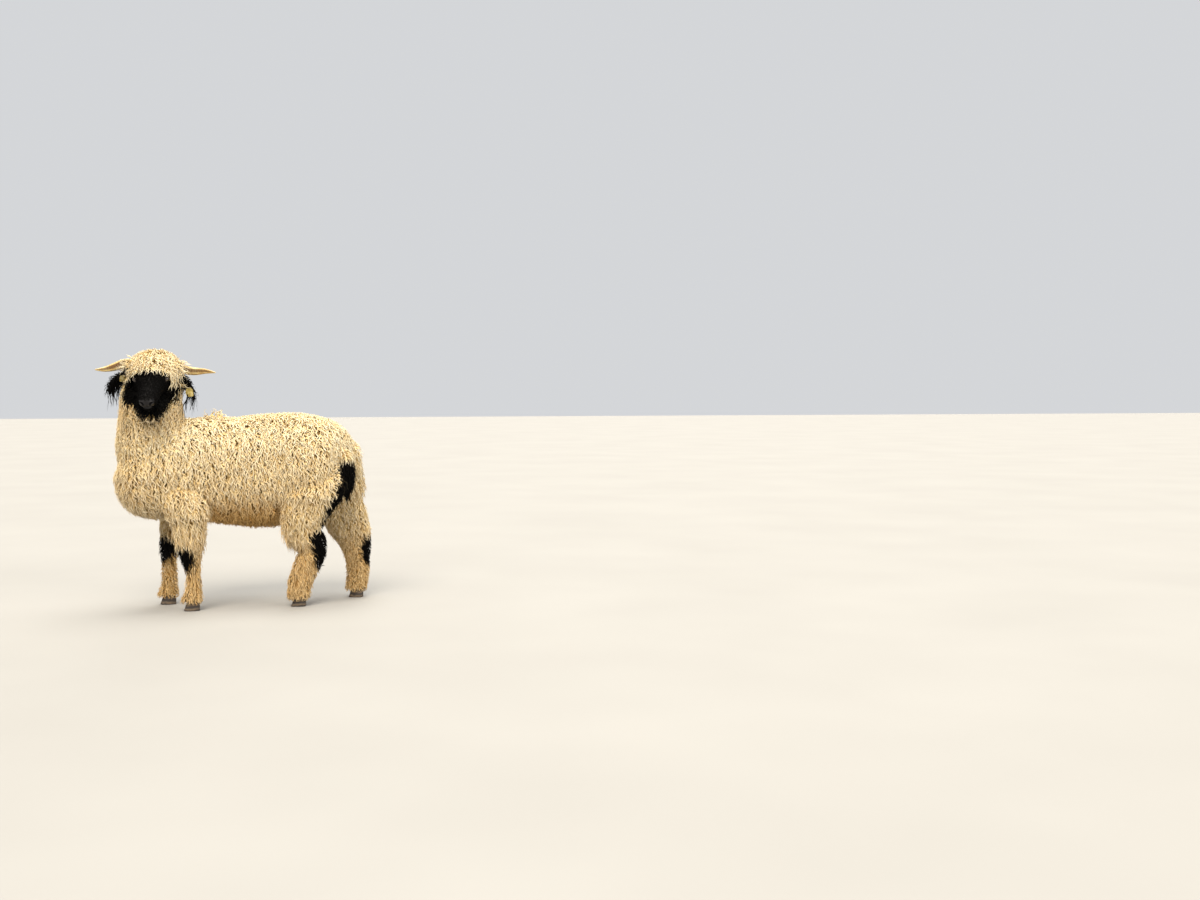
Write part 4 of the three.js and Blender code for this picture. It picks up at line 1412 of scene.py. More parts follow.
    @staticmethod
    def lids(points: Array, side: int) -> Array:
        """Wrap the skin round the eyeball, open in an almond with a rolled rim."""
        centre, axes = EYE.centre(side), EYE.axes(side)
        local = (points - centre) @ axes.T
        nose, high, out = local.T
        tilted = high - EYE.droop * 0.35 * nose
        gap = np.abs(nose / EYE.opening) ** 2 + np.abs(tilted) / EYE.half_height
        distance = np.linalg.norm(local, axis=1)
        shell = EYE.radius + EYE.lid + 1.6 * np.exp(-(((gap - 1.25) / 0.3) ** 2))
        near = ramp(np.hypot(nose, high), 25, 17) * (out > -4)
        lifted = np.maximum(distance, distance * (1 - near) + np.maximum(shell, distance - 3.0) * near)
        sunk = np.minimum(distance, EYE.radius - EYE.sunk)
        open_share = ramp(gap, 1.12, 0.92) * (out > 0)
        target = lifted * (1 - open_share) + sunk * open_share
        scale = target / np.maximum(distance, 1e-6)
        return centre + (local * scale[:, None]) @ axes

    @staticmethod
    def mark(data: bpy.types.Mesh) -> None:
        """Keep the markings on the skin's vertices."""
        markings = Markings(millimetres(read(data.vertices, "co", 3)))
        store(data, "black", markings.black())
        store(data, "bare", markings.bare())

    @staticmethod
    def unwrap(skin: Object) -> None:
        """Unwrap the skin by its own shape into the map that the wool shares."""
        skin.data.uv_layers.new(name="OFBake")
        bpy.context.view_layer.objects.active = skin
        skin.select_set(True)
        bpy.ops.object.mode_set(mode="EDIT")
        bpy.ops.mesh.select_all(action="SELECT")
        bpy.ops.uv.smart_project(angle_limit=math.radians(66), island_margin=0.002)
        bpy.ops.object.mode_set(mode="OBJECT")
        skin.select_set(False)


SECOND_GRID = 0.72
CELL_KEYS = np.array([1, 10007, 100160063])


@dataclass
class SkinSamples:
    """Places on the skin where wool may grow."""

    points: Array
    normals: Array
    patches: Array
    regions: Array

    @classmethod
    def of(cls, skin: Object, count: int, seed: int) -> "SkinSamples":
        """Spread places over the skin by area.

        Args:
            skin: the skin's object.
            count: how many places.
            seed: the number that starts the random source.

        Returns:
            The places, with their normals, their places in the unwrap, and regions.
        """
        data = skin.data
        data.calc_loop_triangles()
        corners = read(data.loop_triangles, "vertices", 3, np.int32)
        loops = read(data.loop_triangles, "loops", 3, np.int32)
        normals = read(data.vertices, "normal", 3)
        unwrap = read(data.uv_layers["OFBake"].uv, "vector", 2)
        triangle = millimetres(read(data.vertices, "co", 3))[corners]
        first, second, third = (triangle[:, number] for number in range(3))
        area = np.linalg.norm(np.cross(second - first, third - first), axis=1) / 2
        random = np.random.default_rng(seed)
        chosen = np.searchsorted(np.cumsum(area), random.random(count) * area.sum())
        chosen = np.minimum(chosen, len(area) - 1)
        p, q = random.random(count), random.random(count)
        flip = p + q > 1
        p, q = np.where(flip, 1 - p, p), np.where(flip, 1 - q, q)
        weights = np.column_stack([1 - p - q, p, q])[:, :, None]
        points = (triangle[chosen] * weights).sum(axis=1)
        outward = unit((normals[corners[chosen]] * weights).sum(axis=1))
        patches = (unwrap[loops[chosen]] * weights).sum(axis=1)
        LOG.info("skin area %.3f m2", area.sum() / 1e6)
        return cls(points, outward, patches, Markings(points).regions())

    def pick(self, mask: Array) -> "SkinSamples":
        """Keep the places that a mask or an index list names."""
        return SkinSamples(self.points[mask], self.normals[mask], self.patches[mask], self.regions[mask])

    def thinned(self, spacing: float) -> "SkinSamples":
        """Keep one place in each cell of two offset grids, so that places stand about spacing apart.

        Args:
            spacing: the size of a cell, in millimetres.

        Returns:
            The places that are kept.
        """
        kept = self
        for shift, size in ((0.0, spacing), (0.5, spacing * SECOND_GRID)):
            cells = np.floor(kept.points / size + shift).astype(np.int64)
            _, first = np.unique(cells @ CELL_KEYS, return_index=True)
            kept = kept.pick(np.sort(first))
        return kept


# The wool

EAR_ROOT = 84.0
TAG_WINDOW = (30.0, 70.0)
PARTING_BOW = 0.0007
RING_CROWDING = 0.8
LEAN = (0.55, 0.45)
RISE_POWER = 2.6
TIP_DROOP = 0.1
ROOT_DEPTH = 2.0
CURL_ONSET = 2.2
CURL_FADE = 0.25
CURL_LIFT = 0.7
TWIST = 0.25
TAPER = (0.82, 2.6)
WAIST = (0.72, 0.28, 1.6)
BAKE_PATCH = 0.003
GIRTH = 2.4


@dataclass(frozen=True)
class Lock:
    """The style of one kind of lock, in millimetres."""

    length: float
    width: float
    rise: float
    curl: float
    turns: float
    spacing: float = 0.0
    rings: int = 8
    hug: float = 0.0
    sag: float = 0.12
    flat: float = 0.55
    spread: float = 0.25
    wisps: float = 0.36


FLEECE_STYLE = {"rise": 31, "curl": 4.4, "turns": 2.0, "rings": 9, "hug": 0.0008}
STYLES = {
    Region.TRUNK: Lock(spacing=8.5, length=50, width=10.4, **FLEECE_STYLE),
    Region.NECK: Lock(spacing=8.1, length=48, width=10.0, **FLEECE_STYLE),
    Region.CROWN: Lock(spacing=6.4, length=42, width=8.4, rise=26, curl=5.0, turns=2.0, rings=9, hug=0.0006),
    Region.FACE: Lock(spacing=3.3, length=8.5, width=3.8, rise=4.2, curl=1.7, turns=1.2, rings=5),
    Region.CHEEK: Lock(spacing=5.6, length=36, width=6.6, rise=26, curl=4.2, turns=1.9, rings=9, sag=0.3),
    Region.EAR: Lock(spacing=5.4, length=26, width=5.6, rise=9, curl=2.6, turns=1.5, rings=8, sag=0.1),
    Region.TAIL: Lock(spacing=6.2, length=40, width=7.4, rise=15, curl=3.0, turns=1.5, rings=8, sag=0.1),
    Region.THIGH: Lock(spacing=8.2, length=42, width=9.2, rise=18, curl=4.0, turns=1.8, rings=8),
    Region.SHANK: Lock(spacing=7.3, length=32, width=7.8, rise=17, curl=3.6, turns=1.7, rings=8),
}


@dataclass(frozen=True)
class Strays:
    """Bunches of long locks that hang clear of the rest, each rooted on the skin nearest to a given place."""

    places: tuple[tuple[float, float, float], ...]
    style: Lock
    way: tuple[float, float, float] = (0.0, 0.0, -1.0)
    each: int = 5
    stride: int = 6
    stain: float = 0.0

    def roots(self, samples: "SkinSamples") -> "SkinSamples":
        """Pick the nearest places on the skin for each bunch, every few of them."""
        chosen = []
        for place in self.places:
            gaps = np.linalg.norm(samples.points - np.array(place), axis=1)
            chosen.extend(np.argsort(gaps)[: self.each * self.stride : self.stride])
        return samples.pick(np.array(chosen))


def head_places(*places: tuple[float, float, float]) -> tuple[tuple[float, float, float], ...]:
    """Turn places given in the head's frame into places in the design frame."""
    return tuple(tuple(HEAD.place(place)) for place in places)


EAR_TASSELS = Strays(
    head_places(
        (26, -160, -45),
        (26, -133, -28),
        (30, -176, -60),
        (22, -146, -36),
        (34, 142, -98),
        (30, 148, -78),
        (28, 128, -70),
    ),
    Lock(length=62, width=4.6, rise=7, curl=2.2, turns=1.6, rings=10, sag=0.1, spread=0.1, wisps=0.4),
    each=6,
)
RINGLET = Lock(length=96, width=5.5, rise=36, curl=3.0, turns=3.0, rings=12, sag=0.05, spread=0.05, wisps=0)
RINGLETS = tuple(
    Strays((place,), RINGLET, each=2, stain=0.9) for place in ((-428, -128, 838), (-222, -86, 846))
)
HORN_CURL = Lock(length=52, width=9, rise=27, curl=6.5, turns=2.2, rings=11, sag=0.35, spread=0.5)
HORN_CURLS = (
    Strays(
        head_places((8, -84, 56), (-8, -84, 50), (24, -82, 48), (8, -80, 68)),
        HORN_CURL,
        way=(-1.0, 0.0, -0.1),
        each=16,
    ),
    Strays(
        head_places((8, 84, 48), (-8, 84, 42), (24, 82, 40), (8, 80, 60)),
        HORN_CURL,
        way=(1.0, 0.0, -0.3),
        each=10,
    ),
)
WITHERS_WISPS = Strays(
    ((-132, 36, 770), (-112, 38, 770), (-92, 40, 770), (-72, 44, 770)),
    Lock(length=36, width=13, rise=44, curl=7, turns=1.6, rings=10, sag=0.3, spread=0.9, wisps=0.3),
    way=(0.4, -0.3, 0.0),
    each=9,
)


@dataclass
class Coat:
    """One piece of wool: many locks of the styles of its regions, joined in one mesh."""

    name: str
    regions: tuple[Region, ...]
    side: Callable[[Array], Array] | None = None
    strays: tuple[Strays, ...] = ()
    seed: int = 1
    corners: int = 3
    floor_gap: float = 24.0
    shortest: float = 10.0
    floor_share: float = 0.8
    wisp_width: float = 0.4
    wisp_rise: float = 1.08
    wisp_curl: float = 1.3

    def roots(self, samples: SkinSamples) -> list[tuple[Lock, SkinSamples]]:
        """Choose where this piece's locks are rooted.

        Args:
            samples: places all over the skin.

        Returns:
            Each region's style with its places.
        """
        chosen = []
        for region in self.regions:
            mask = samples.regions == region
            if self.side is not None:
                mask &= self.side(samples.points)
            chosen.append((STYLES[region], samples.pick(mask).thinned(STYLES[region].spacing)))
        return chosen

    def build(self, samples: SkinSamples, finish: Material) -> Object:
        """Grow the locks and join them.

        Args:
            samples: places all over the skin.
            finish: the wool's material.

        Returns:
            The piece's object.
        """
        random = np.random.default_rng(self.seed)
        rooted = self.roots(samples)
        tufts = [self.grow(style, places, random) for style, places in rooted if len(places.points)]
        for bunch in self.strays:
            grown = self.grow(bunch.style, bunch.roots(samples), random, np.array(bunch.way))
            grown.black = np.maximum(grown.black, grown.share * bunch.stain)
            tufts.append(grown)
        return joined_tufts(self.name, tufts, finish)

    def grow(
        self, style: Lock, places: SkinSamples, random: np.random.Generator, way: Array | None = None
    ) -> "Tufts":
        """Bend and curl one lock for each place.

        Args:
            style: the locks' style.
            places: their roots.
            random: the random source.
            way: the direction that they hang in, where it isn't that of the coat round them.

        Returns:
            The locks' vertices and what they carry.
        """
        count = len(places.points)

        def vary(least: float, range_up: float) -> Array:
            """Draw a factor for each lock, from least up through a range."""
            return least + range_up * random.random(count)

        if way is None:
            lie = lie_of_coat(places.points, places.normals, random, style.spread)
            reach = reach_of_coat(places.points)
        else:
            lie = unit(way + random.normal(0, style.spread, (count, 3)))
            reach = np.ones(count)
        room = np.maximum(places.points[:, 2] - self.floor_gap, self.shortest) * self.floor_share
        length = np.minimum(style.length * reach * vary(0.75, 0.5), room)
        rise = style.rise * vary(0.82, 0.28)
        width = style.width * vary(0.8, 0.4)
        curl = style.curl * vary(0.7, 0.6)
        turns = style.turns * vary(0.8, 0.4) * np.where(random.random(count) > 0.5, 1, -1)
        phase = random.random(count) * 2 * math.pi
        wisp = random.random(count) < style.wisps
        width = np.where(wisp, width * self.wisp_width, width)
        rise = np.where(wisp, style.rise * self.wisp_rise, rise)
        curl = np.where(wisp, curl * self.wisp_curl, curl)
        return Tufts.curled(places, lie, length, rise, width, curl, turns, phase, style, self.corners, random)


def lie_of_coat(points: Array, normals: Array, random: np.random.Generator, spread: float) -> Array:
    """Give the direction that the wool lies in at each root.

    Args:
        points: the roots, in the design frame.
        normals: the skin's outward directions there.
        random: the random source.
        spread: how far the directions stray.

    Returns:
        Unit directions along the skin.
    """
    head = HEAD.inside(points)
    along, left, _ = HEAD.axes()
    ahead, aside = head[:, 0], np.abs(head[:, 1])
    parting = SPINE_MID[1] - PARTING_BOW * (points[:, 0] - SPINE_MID[0]) ** 2
    away = np.clip((points[:, 1] - parting) / 60, -1, 1)
    body = np.column_stack([np.full(len(points), 0.22), away * 0.5, np.full(len(points), -1.0)])
    out = np.clip(head[:, 1] / 50, -1, 1)[:, None]
    over_brow = (ramp(ahead, 20, 45) * ramp(aside, 30, 55))[:, None]
    over_horn = (ramp(ahead, -30, 0) * ramp(aside, 40, 66))[:, None] * (1 - over_brow)
    crown = along * (0.55 - 0.25 * over_brow) + left * out * (0.7 - 0.4 * over_brow + 0.7 * over_horn)
    crown = crown - UP * (0.8 - 0.3 * over_horn)
    face = -along * 0.35 + left * out * 0.6 - UP * 0.75
    front = ramp(ahead, 60, 80)[:, None]
    on_head = beyond(points, HEAD_CUT) > 0
    way = np.where(on_head[:, None], crown * (1 - front) + face * front, body)
    on_ear = (aside > EAR_ROOT) & (ahead > -10)
    way = np.where(on_ear[:, None], left * out * 0.12 - UP, way)
    way = way + random.normal(0, spread, (len(points), 3))
    return unit(way - normals * np.sum(way * normals, axis=1)[:, None])


def reach_of_coat(points: Array) -> Array:
    """Give how many times the usual length the wool has at each root.

    Args:
        points: the roots, in the design frame.

    Returns:
        A factor for each: more on the left brow, chin and belly, less beside the tail and over the tags.
    """
    head = HEAD.inside(points)
    ahead, aside = head[:, 0], np.abs(head[:, 1])
    on_head = beyond(points, HEAD_CUT) > 0
    sides = ramp(aside, 36, 62) * ramp(ahead, -30, 10) * on_head
    belly = ramp(points[:, 2], 400, 350) * (np.abs(points[:, 0]) < 260) * 0.5
    hanging = np.where(head[:, 1] > 0, 0.3, -0.15) * sides * (ahead < 90) * (aside < EAR_ROOT)
    chin = ramp(head[:, 2], -40, -62) * ramp(ahead, 120, 160) * on_head
    gap = distance_to_line(points, TAIL_LINE)
    beside = ramp(gap, 95, 70) * (gap > 46) * (points[:, 2] < 620) * (points[:, 0] > 300)
    reach = (1 + hanging + belly + 0.3 * chin) * (1 - 0.6 * beside)
    for side, share in TAG_PLACES.items():
        centre, face = EarShape(side).seat(share)
        gap = points - centre
        before = (gap @ face > 0) & (np.hypot(gap[:, 0], gap[:, 1]) < TAG_WINDOW[0])
        over = before & (gap[:, 2] > 0) & (gap[:, 2] < TAG_WINDOW[1])
        reach = np.where(over & (aside > 70), reach * 0.3, reach)
    return reach


@dataclass
class Tufts:
    """The vertices and faces of many locks of one kind."""

    vertices: Array
    faces: Array
    share: Array
    tone: Array
    black: Array
    # The honey tint and painted shade of the lower body.
    shade: Array
    patch: Array
    flow: Array

    @classmethod
    def curled(
        cls,
        places: SkinSamples,
        lie: Array,
        length: Array,
        rise: Array,
        width: Array,
        curl: Array,
        turns: Array,
        phase: Array,
        style: Lock,
        corners: int,
        random: np.random.Generator,
    ) -> "Tufts":
        """Sweep a tapering section along each lock's curling line.

        Args:
            places: the roots.
            lie: the direction that each lock lies in.
            length: each lock's length.
            rise: how high it stands over the skin.
            width: its full width.
            curl: the radius of its curl.
            turns: how many turns it makes.
            phase: where its curl starts.
            style: the locks' style.
            corners: how many corners a section has.
            random: the random source.

        Returns:
            The locks.
        """
        count, rings = len(places.points), style.rings
        t = np.linspace(0, 1, rings + 1) ** RING_CROWDING
        normal = places.normals[:, None, :]
        way = lie[:, None, :]
        side = np.cross(places.normals, lie)[:, None, :]
        forward = length[:, None] * t * (LEAN[0] + LEAN[1] * t)
        height = rise[:, None] * (1 - (1 - t) ** RISE_POWER) * (1 - TIP_DROOP * t**3)
        height = height - style.hug * forward**2 - ROOT_DEPTH * (1 - t)
        swell = curl[:, None] * np.minimum(1, t * CURL_ONSET) * (1 - CURL_FADE * t)
        angle = phase[:, None] + 2 * math.pi * turns[:, None] * t
        aside, raised = swell * np.cos(angle), swell * CURL_LIFT * np.sin(angle)
        line = places.points[:, None, :] + way * forward[..., None] + normal * height[..., None]
        line = line + side * aside[..., None] + normal * raised[..., None]
        line = line - UP * (style.sag * length[:, None] * t**2)[..., None]
        direction = unit(np.gradient(line, axis=1))
        across = unit(np.cross(direction, normal) + TWIST * way * np.sin(angle)[..., None])
        over = np.cross(across, direction)
        waist = WAIST[0] + WAIST[1] * np.sin(math.pi * np.minimum(1, t * WAIST[2]))
        half = width[:, None] / 2 * (1 - TAPER[0] * t ** TAPER[1]) * waist
        around = 2 * math.pi * np.arange(corners) / corners
        section = half[:, :-1, None, None] * (
            across[:, :-1, None, :] * np.cos(around)[None, None, :, None]
            + over[:, :-1, None, :] * (np.sin(around) * style.flat)[None, None, :, None]
        )
        tube = line[:, :-1, None, :] + section
        vertices = np.concatenate([tube.reshape(count, -1, 3), line[:, -1:, :]], axis=1)
        share = np.concatenate([np.repeat(t[:-1], corners), [1.0]])
        per_lock = rings * corners + 1
        faces, shares = cls.pattern(rings, corners)
        every = (faces[None] + (np.arange(count) * per_lock)[:, None, None]).reshape(-1, 3)
        patch = (places.patches[:, None, None, :] + (shares[None] - 0.5) * BAKE_PATCH).reshape(-1, 2)
        girth = width[:, None, None] * GIRTH * shares[None, ..., 0]
        flow = np.stack([girth, length[:, None, None] * shares[None, ..., 1]], axis=-1).reshape(-1, 2)
        markings = Markings(places.points)
        return cls(
            vertices.reshape(-1, 3),
            every,
            np.tile(share, count),
            np.repeat(random.random(count), per_lock),
            np.repeat(markings.black(), per_lock),
            np.repeat(markings.shade(), per_lock),
            patch,
            flow,
        )

    @staticmethod
    def pattern(rings: int, corners: int) -> tuple[Array, Array]:
        """Give one lock's faces, and where each of their corners lies round and along it.

        Args:
            rings: how many rings of vertices the lock has under its tip.
            corners: how many corners a ring has.

        Returns:
            Triangles of vertex numbers, and for each of their corners the shares round and along the lock.
        """
        faces, shares = [], []
        for ring in range(rings):
            low, high = ring * corners, (ring + 1) * corners
            under, over = ring / rings, (ring + 1) / rings
            for corner in range(corners):
                following = (corner + 1) % corners
                left, right = corner / corners, (corner + 1) / corners
                if ring == rings - 1:
                    faces.append((low + corner, low + following, high))
                    shares.append(((left, under), (right, under), ((corner + 0.5) / corners, 1.0)))
                    continue
                a, b, c, d = low + corner, low + following, high + following, high + corner
                faces += [(a, b, c), (a, c, d)]
                first = ((left, under), (right, under), (right, over))
                second = ((left, under), (right, over), (left, over))
                shares += [first, second]
        faces.append(tuple(range(corners))[::-1])
        shares.append(((0.0, 0.0), (0.5, 0.0), (1.0, 0.0)))
        return np.array(faces), np.array(shares)


def joined_tufts(name: str, tufts: Sequence[Tufts], finish: Material) -> Object:
    """Make one mesh of many locks.

    Args:
        name: the piece's name.
        tufts: the locks, kind by kind.
        finish: the wool's material.

    Returns:
        The object, linked to the scene.
    """

    def joined(field_name: str) -> Array:
        """Join one field of every kind."""
        return np.concatenate([getattr(group, field_name) for group in tufts])

    starts = np.cumsum([0] + [len(group.vertices) for group in tufts[:-1]])
    vertices = metres(joined("vertices")).astype(np.float32)
    faces = np.concatenate([group.faces + start for group, start in zip(tufts, starts)]).astype(np.int32)
    data = bpy.data.meshes.new(name)
    data.vertices.add(len(vertices))
    data.vertices.foreach_set("co", vertices.ravel())
    data.loops.add(faces.size)
    data.loops.foreach_set("vertex_index", faces.ravel())
    data.polygons.add(len(faces))
    data.polygons.foreach_set("loop_start", np.arange(0, faces.size, 3, dtype=np.int32))
    data.update(calc_edges=True)
    data.shade_smooth()
    store_map(data, "OFBake", joined("patch"))
    store_map(data, "LockUV", joined("flow"))
    store(data, "along", joined("share"))
    for field_name in ("tone", "black", "shade"):
        store(data, field_name, joined(field_name))
    data.materials.append(finish)
    return linked(name, data)


# Horns, eyes, hooves and tags


@dataclass
class Horn:
    """One horn: a ringed, grooved, slightly twisted cone that sweeps out from the topknot."""

    side: int
    sides: int = 32
    rows: int = 150
    rings: int = 24
    ring_depth: float = 0.025
    groove_depth: float = 0.34
    groove_up: float = 0.36
    girth_mm: float = 14.0
    length_mm: float = 250.0

    def front(self, cosine: Array, sine: Array) -> Array:
        """Give 1 along the middle of the groove, which faces forward and a little up, and 0 past its rims."""
        return ramp(-cosine * self.side * 0.9 + sine * self.groove_up, 0.74, 0.93)

    def wave(self, share: Array) -> Array:
        """Give the growth rings, unevenly spaced, from -1 in a valley to 1 on a ridge."""
        return np.cos(share * self.rings * 2 * math.pi + 0.8 * np.sin(share * 31))

    def build(self, finish: Material) -> Object:
        """Make the horn, with its brown mark and the length along it kept for its material: painted shade in
        the front hollow and under it, and browner ring valleys and base.
        """
        stations = []
        for along, out, up, wide, thick in HORNS[self.side]:
            stations.append((*HEAD.place((along, self.side * out, up)), thick, wide))

        def section(share: Array, cosine: Array, sine: Array) -> tuple[Array, Array]:
            """Shape the growth rings and the groove along the front."""
            ring = 1 + self.ring_depth * np.minimum(self.wave(share), 0.4) * (1 - share) ** 0.8
            groove = 1 - self.groove_depth * self.front(cosine, sine) * (1 - share * 0.4)
            return ring * groove, ring

        mesh = bmesh.new()
        shares = loft(mesh, stations, self.sides, self.rows, up=HEAD.axes()[2], power=2.1, section=section)
        horn = finished_object(mesh, f"horn_{SIDE_NAMES[self.side]}_keratin", finish)
        share, cosine, sine = shares.T
        # The brown mark: darker ring valleys, painted shade in the front hollow and along the underside, and
        # darker towards the base.
        valley = ramp(-self.wave(share), 0.35, 1.0) * (1 - share) ** 0.5
        front = self.front(cosine, sine) * (1 - 0.35 * share)
        under = ramp(-sine, 0.3, 1.0) * 0.35
        root = ramp(share, 0.42, 0.2) * 0.35
        store(horn.data, "groove", np.clip(valley * 0.25 + front + under + root, 0, 1))
        corners = read(horn.data.loops, "vertex_index", 1, np.int32)[:, 0]
        around = np.arctan2(sine, cosine)[corners] * self.girth_mm
        store_map(horn.data, "HornUV", np.column_stack([around, share[corners] * self.length_mm]))
        return horn


@dataclass
class Eye:
    """One eyeball, with the cornea's bulge."""

    side: int
    cornea: float = 8.6
    bulge: float = 1.4
    clearance: float = 0.2

    def build(self, finish: Material) -> Object:
        """Make the eyeball, with its place across the gaze kept in a map."""
        mesh = bmesh.new()
        size = EYE.radius - self.clearance
        made = bmesh.ops.create_uvsphere(mesh, u_segments=48, v_segments=32, radius=size)["verts"]
        local = positions(made)
        off = np.hypot(local[:, 0], local[:, 1])
        cap = ramp(off, self.cornea, self.cornea * 0.3) * (local[:, 2] > 0) * self.bulge
        local = local * (1 + cap / EYE.radius)[:, None]
        move(made, EYE.centre(self.side) + local @ EYE.axes(self.side))
        eye = finished_object(mesh, f"eye_{SIDE_NAMES[self.side]}_ball", finish)
        corners = read(eye.data.loops, "vertex_index", 1, np.int32)[:, 0]
        flat = np.where(local[:, 2:] > 0, local[:, :2] / EYE.radius, unit(local)[:, :2])
        store_map(eye.data, "GazeUV", flat[corners])
        return eye


@dataclass
class Hooves:
    """The two claws of one foot, each a blunt wedge with a worn edge."""

    leg: Leg
    long: float = 30.0
    wide: float = 11.5
    apart: float = 12.4
    top: float = 0.76
    back: float = 7.0
    toe: float = 0.3
    lean: float = 2.5
    ripple: float = 0.35
    ripples: int = 7
    rim: float = 0.05
    sides: int = 40
    rows: int = 12

    def build(self, pair: int, finish: Material) -> Object:
        """Make one claw.

        Args:
            pair: 1 for the outer claw and -1 for the inner one, as the solids name them.
            finish: the hoof's material.

        Returns:
            The claw's object.
        """
        mesh = bmesh.new()
        bmesh.ops.create_cone(mesh, cap_ends=True, segments=self.sides, radius1=1.0, radius2=1.0, depth=1.0)
        walls = [edge for edge in mesh.edges if abs(edge.verts[0].co.z - edge.verts[1].co.z) > 0.5]
        bmesh.ops.subdivide_edges(mesh, edges=walls, cuts=self.rows)
        rims = [edge for edge in mesh.edges if level_edge(edge, 0.0) and abs(edge.verts[0].co.z) > 0.49]
        round_rims(mesh, rims, self.rim)
        ahead = self.leg.forward()
        across = np.cross(UP, ahead)
        x, y = self.leg.joints[-1][:2]
        centre = np.array([x, y, 0.0]) + across * pair * self.apart
        for vert in mesh.verts:
            front, out, high = vert.co.x, vert.co.y, vert.co.z + 0.5
            shrink = 1 + (self.top - 1) * high
            toe = 1 - self.toe * front if front > 0 else 1.0
            lean = pair * -self.lean * front if front > 0 else 0.0
            ripple = self.ripple * math.sin(high * 2 * math.pi * self.ripples) * (1 - high)
            place = centre + ahead * (front * (self.long * shrink + ripple) - self.back * high)
            place = place + across * (lean + out * (self.wide * toe + ripple * 0.5))
            vert.co = metres(place + UP * high * HOOF_HEIGHT)
        name = "outer" if pair > 0 else "inner"
        return finished_object(mesh, f"{self.leg.name}_{name}_hoof", finish)


@dataclass
class EarTag:
    """A bare plastic tag: a plate with rounded corners on the ear's front, a stem and a button behind."""

    side: int
    at: float
    width: float = 30.0
    height: float = 36.0
    thick: float = 2.0
    taper: float = 0.4
    rim: float = 0.45
    stem: float = 2.6
    button: float = 8.0
    stud_height: float = 1.6
    hang: float = 8.0

    def build(self, finish: Material) -> Object:
        """Make the tag in its own frame and set it on the ear."""
        shape = EarShape(self.side)
        centre, face = shape.seat(self.at)
        front = shape.thick * 1.45 + 1
        mesh = bmesh.new()
        plate = bmesh.ops.create_circle(mesh, cap_ends=True, segments=40, radius=1.0)["verts"]
        for vert in plate:
            x, y = vert.co.x, vert.co.y
            wide = float(rounded(np.array(x), 5.0) * (1 - self.taper * max(0.0, y) ** 2))
            high = float(rounded(np.array(y), 4.0))
            vert.co = (wide * self.width / 2, high * self.height / 2 - self.hang, front)
        raised = bmesh.ops.extrude_face_region(mesh, geom=mesh.faces[:])["geom"]
        for vert in (item for item in raised if isinstance(item, Vert)):
            vert.co.z += self.thick
        round_rims(mesh, [edge for edge in mesh.edges if level_edge(edge, 1e-6)], self.rim)
        self.round_part(mesh, self.stem, self.stem, 2 * front + 2, 0.0)
        self.round_part(mesh, self.button, self.button * 0.8, self.thick, -front - self.thick / 2)
        self.round_part(mesh, self.stem * 1.7, self.stem * 1.4, self.stud_height, front + self.thick + 0.6)
        up = unit(UP - face * face[2])
        across = np.cross(up, face)
        for vert in mesh.verts:
            x, y, z = vert.co
            vert.co = metres(centre + across * x + up * y + face * z)
        return finished_object(mesh, f"ear_tag_{SIDE_NAMES[self.side]}_plate", finish)

    @staticmethod
    def round_part(mesh: Mesh, low: float, high: float, depth: float, at: float) -> None:
        """Add a short round part of the tag at a height along its axis."""
        made = bmesh.ops.create_cone(mesh, cap_ends=True, segments=24, radius1=low, radius2=high, depth=depth)
        for vert in made["verts"]:
            vert.co.z += at


# The studio

PHOTO_CAMERA = "photo_camera"
SUNS = (
    ("key_light", (-1.6, -3.6, 4.6), (-0.1, 0.0, 0.5), 3.9, "#FFF6E6"),
    ("fill_light", (3.6, -4.0, 2.2), (0.0, 0.0, 0.5), 1.4, "#FFFAF0"),
    ("top_light", (0.4, 0.6, 5.0), (0.0, 0.0, 0.6), 2.6, "#FFFDF6"),
    ("back_light", (1.5, 4.5, 3.0), (0.0, 0.0, 0.6), 0.8, "#FFFAF0"),
)


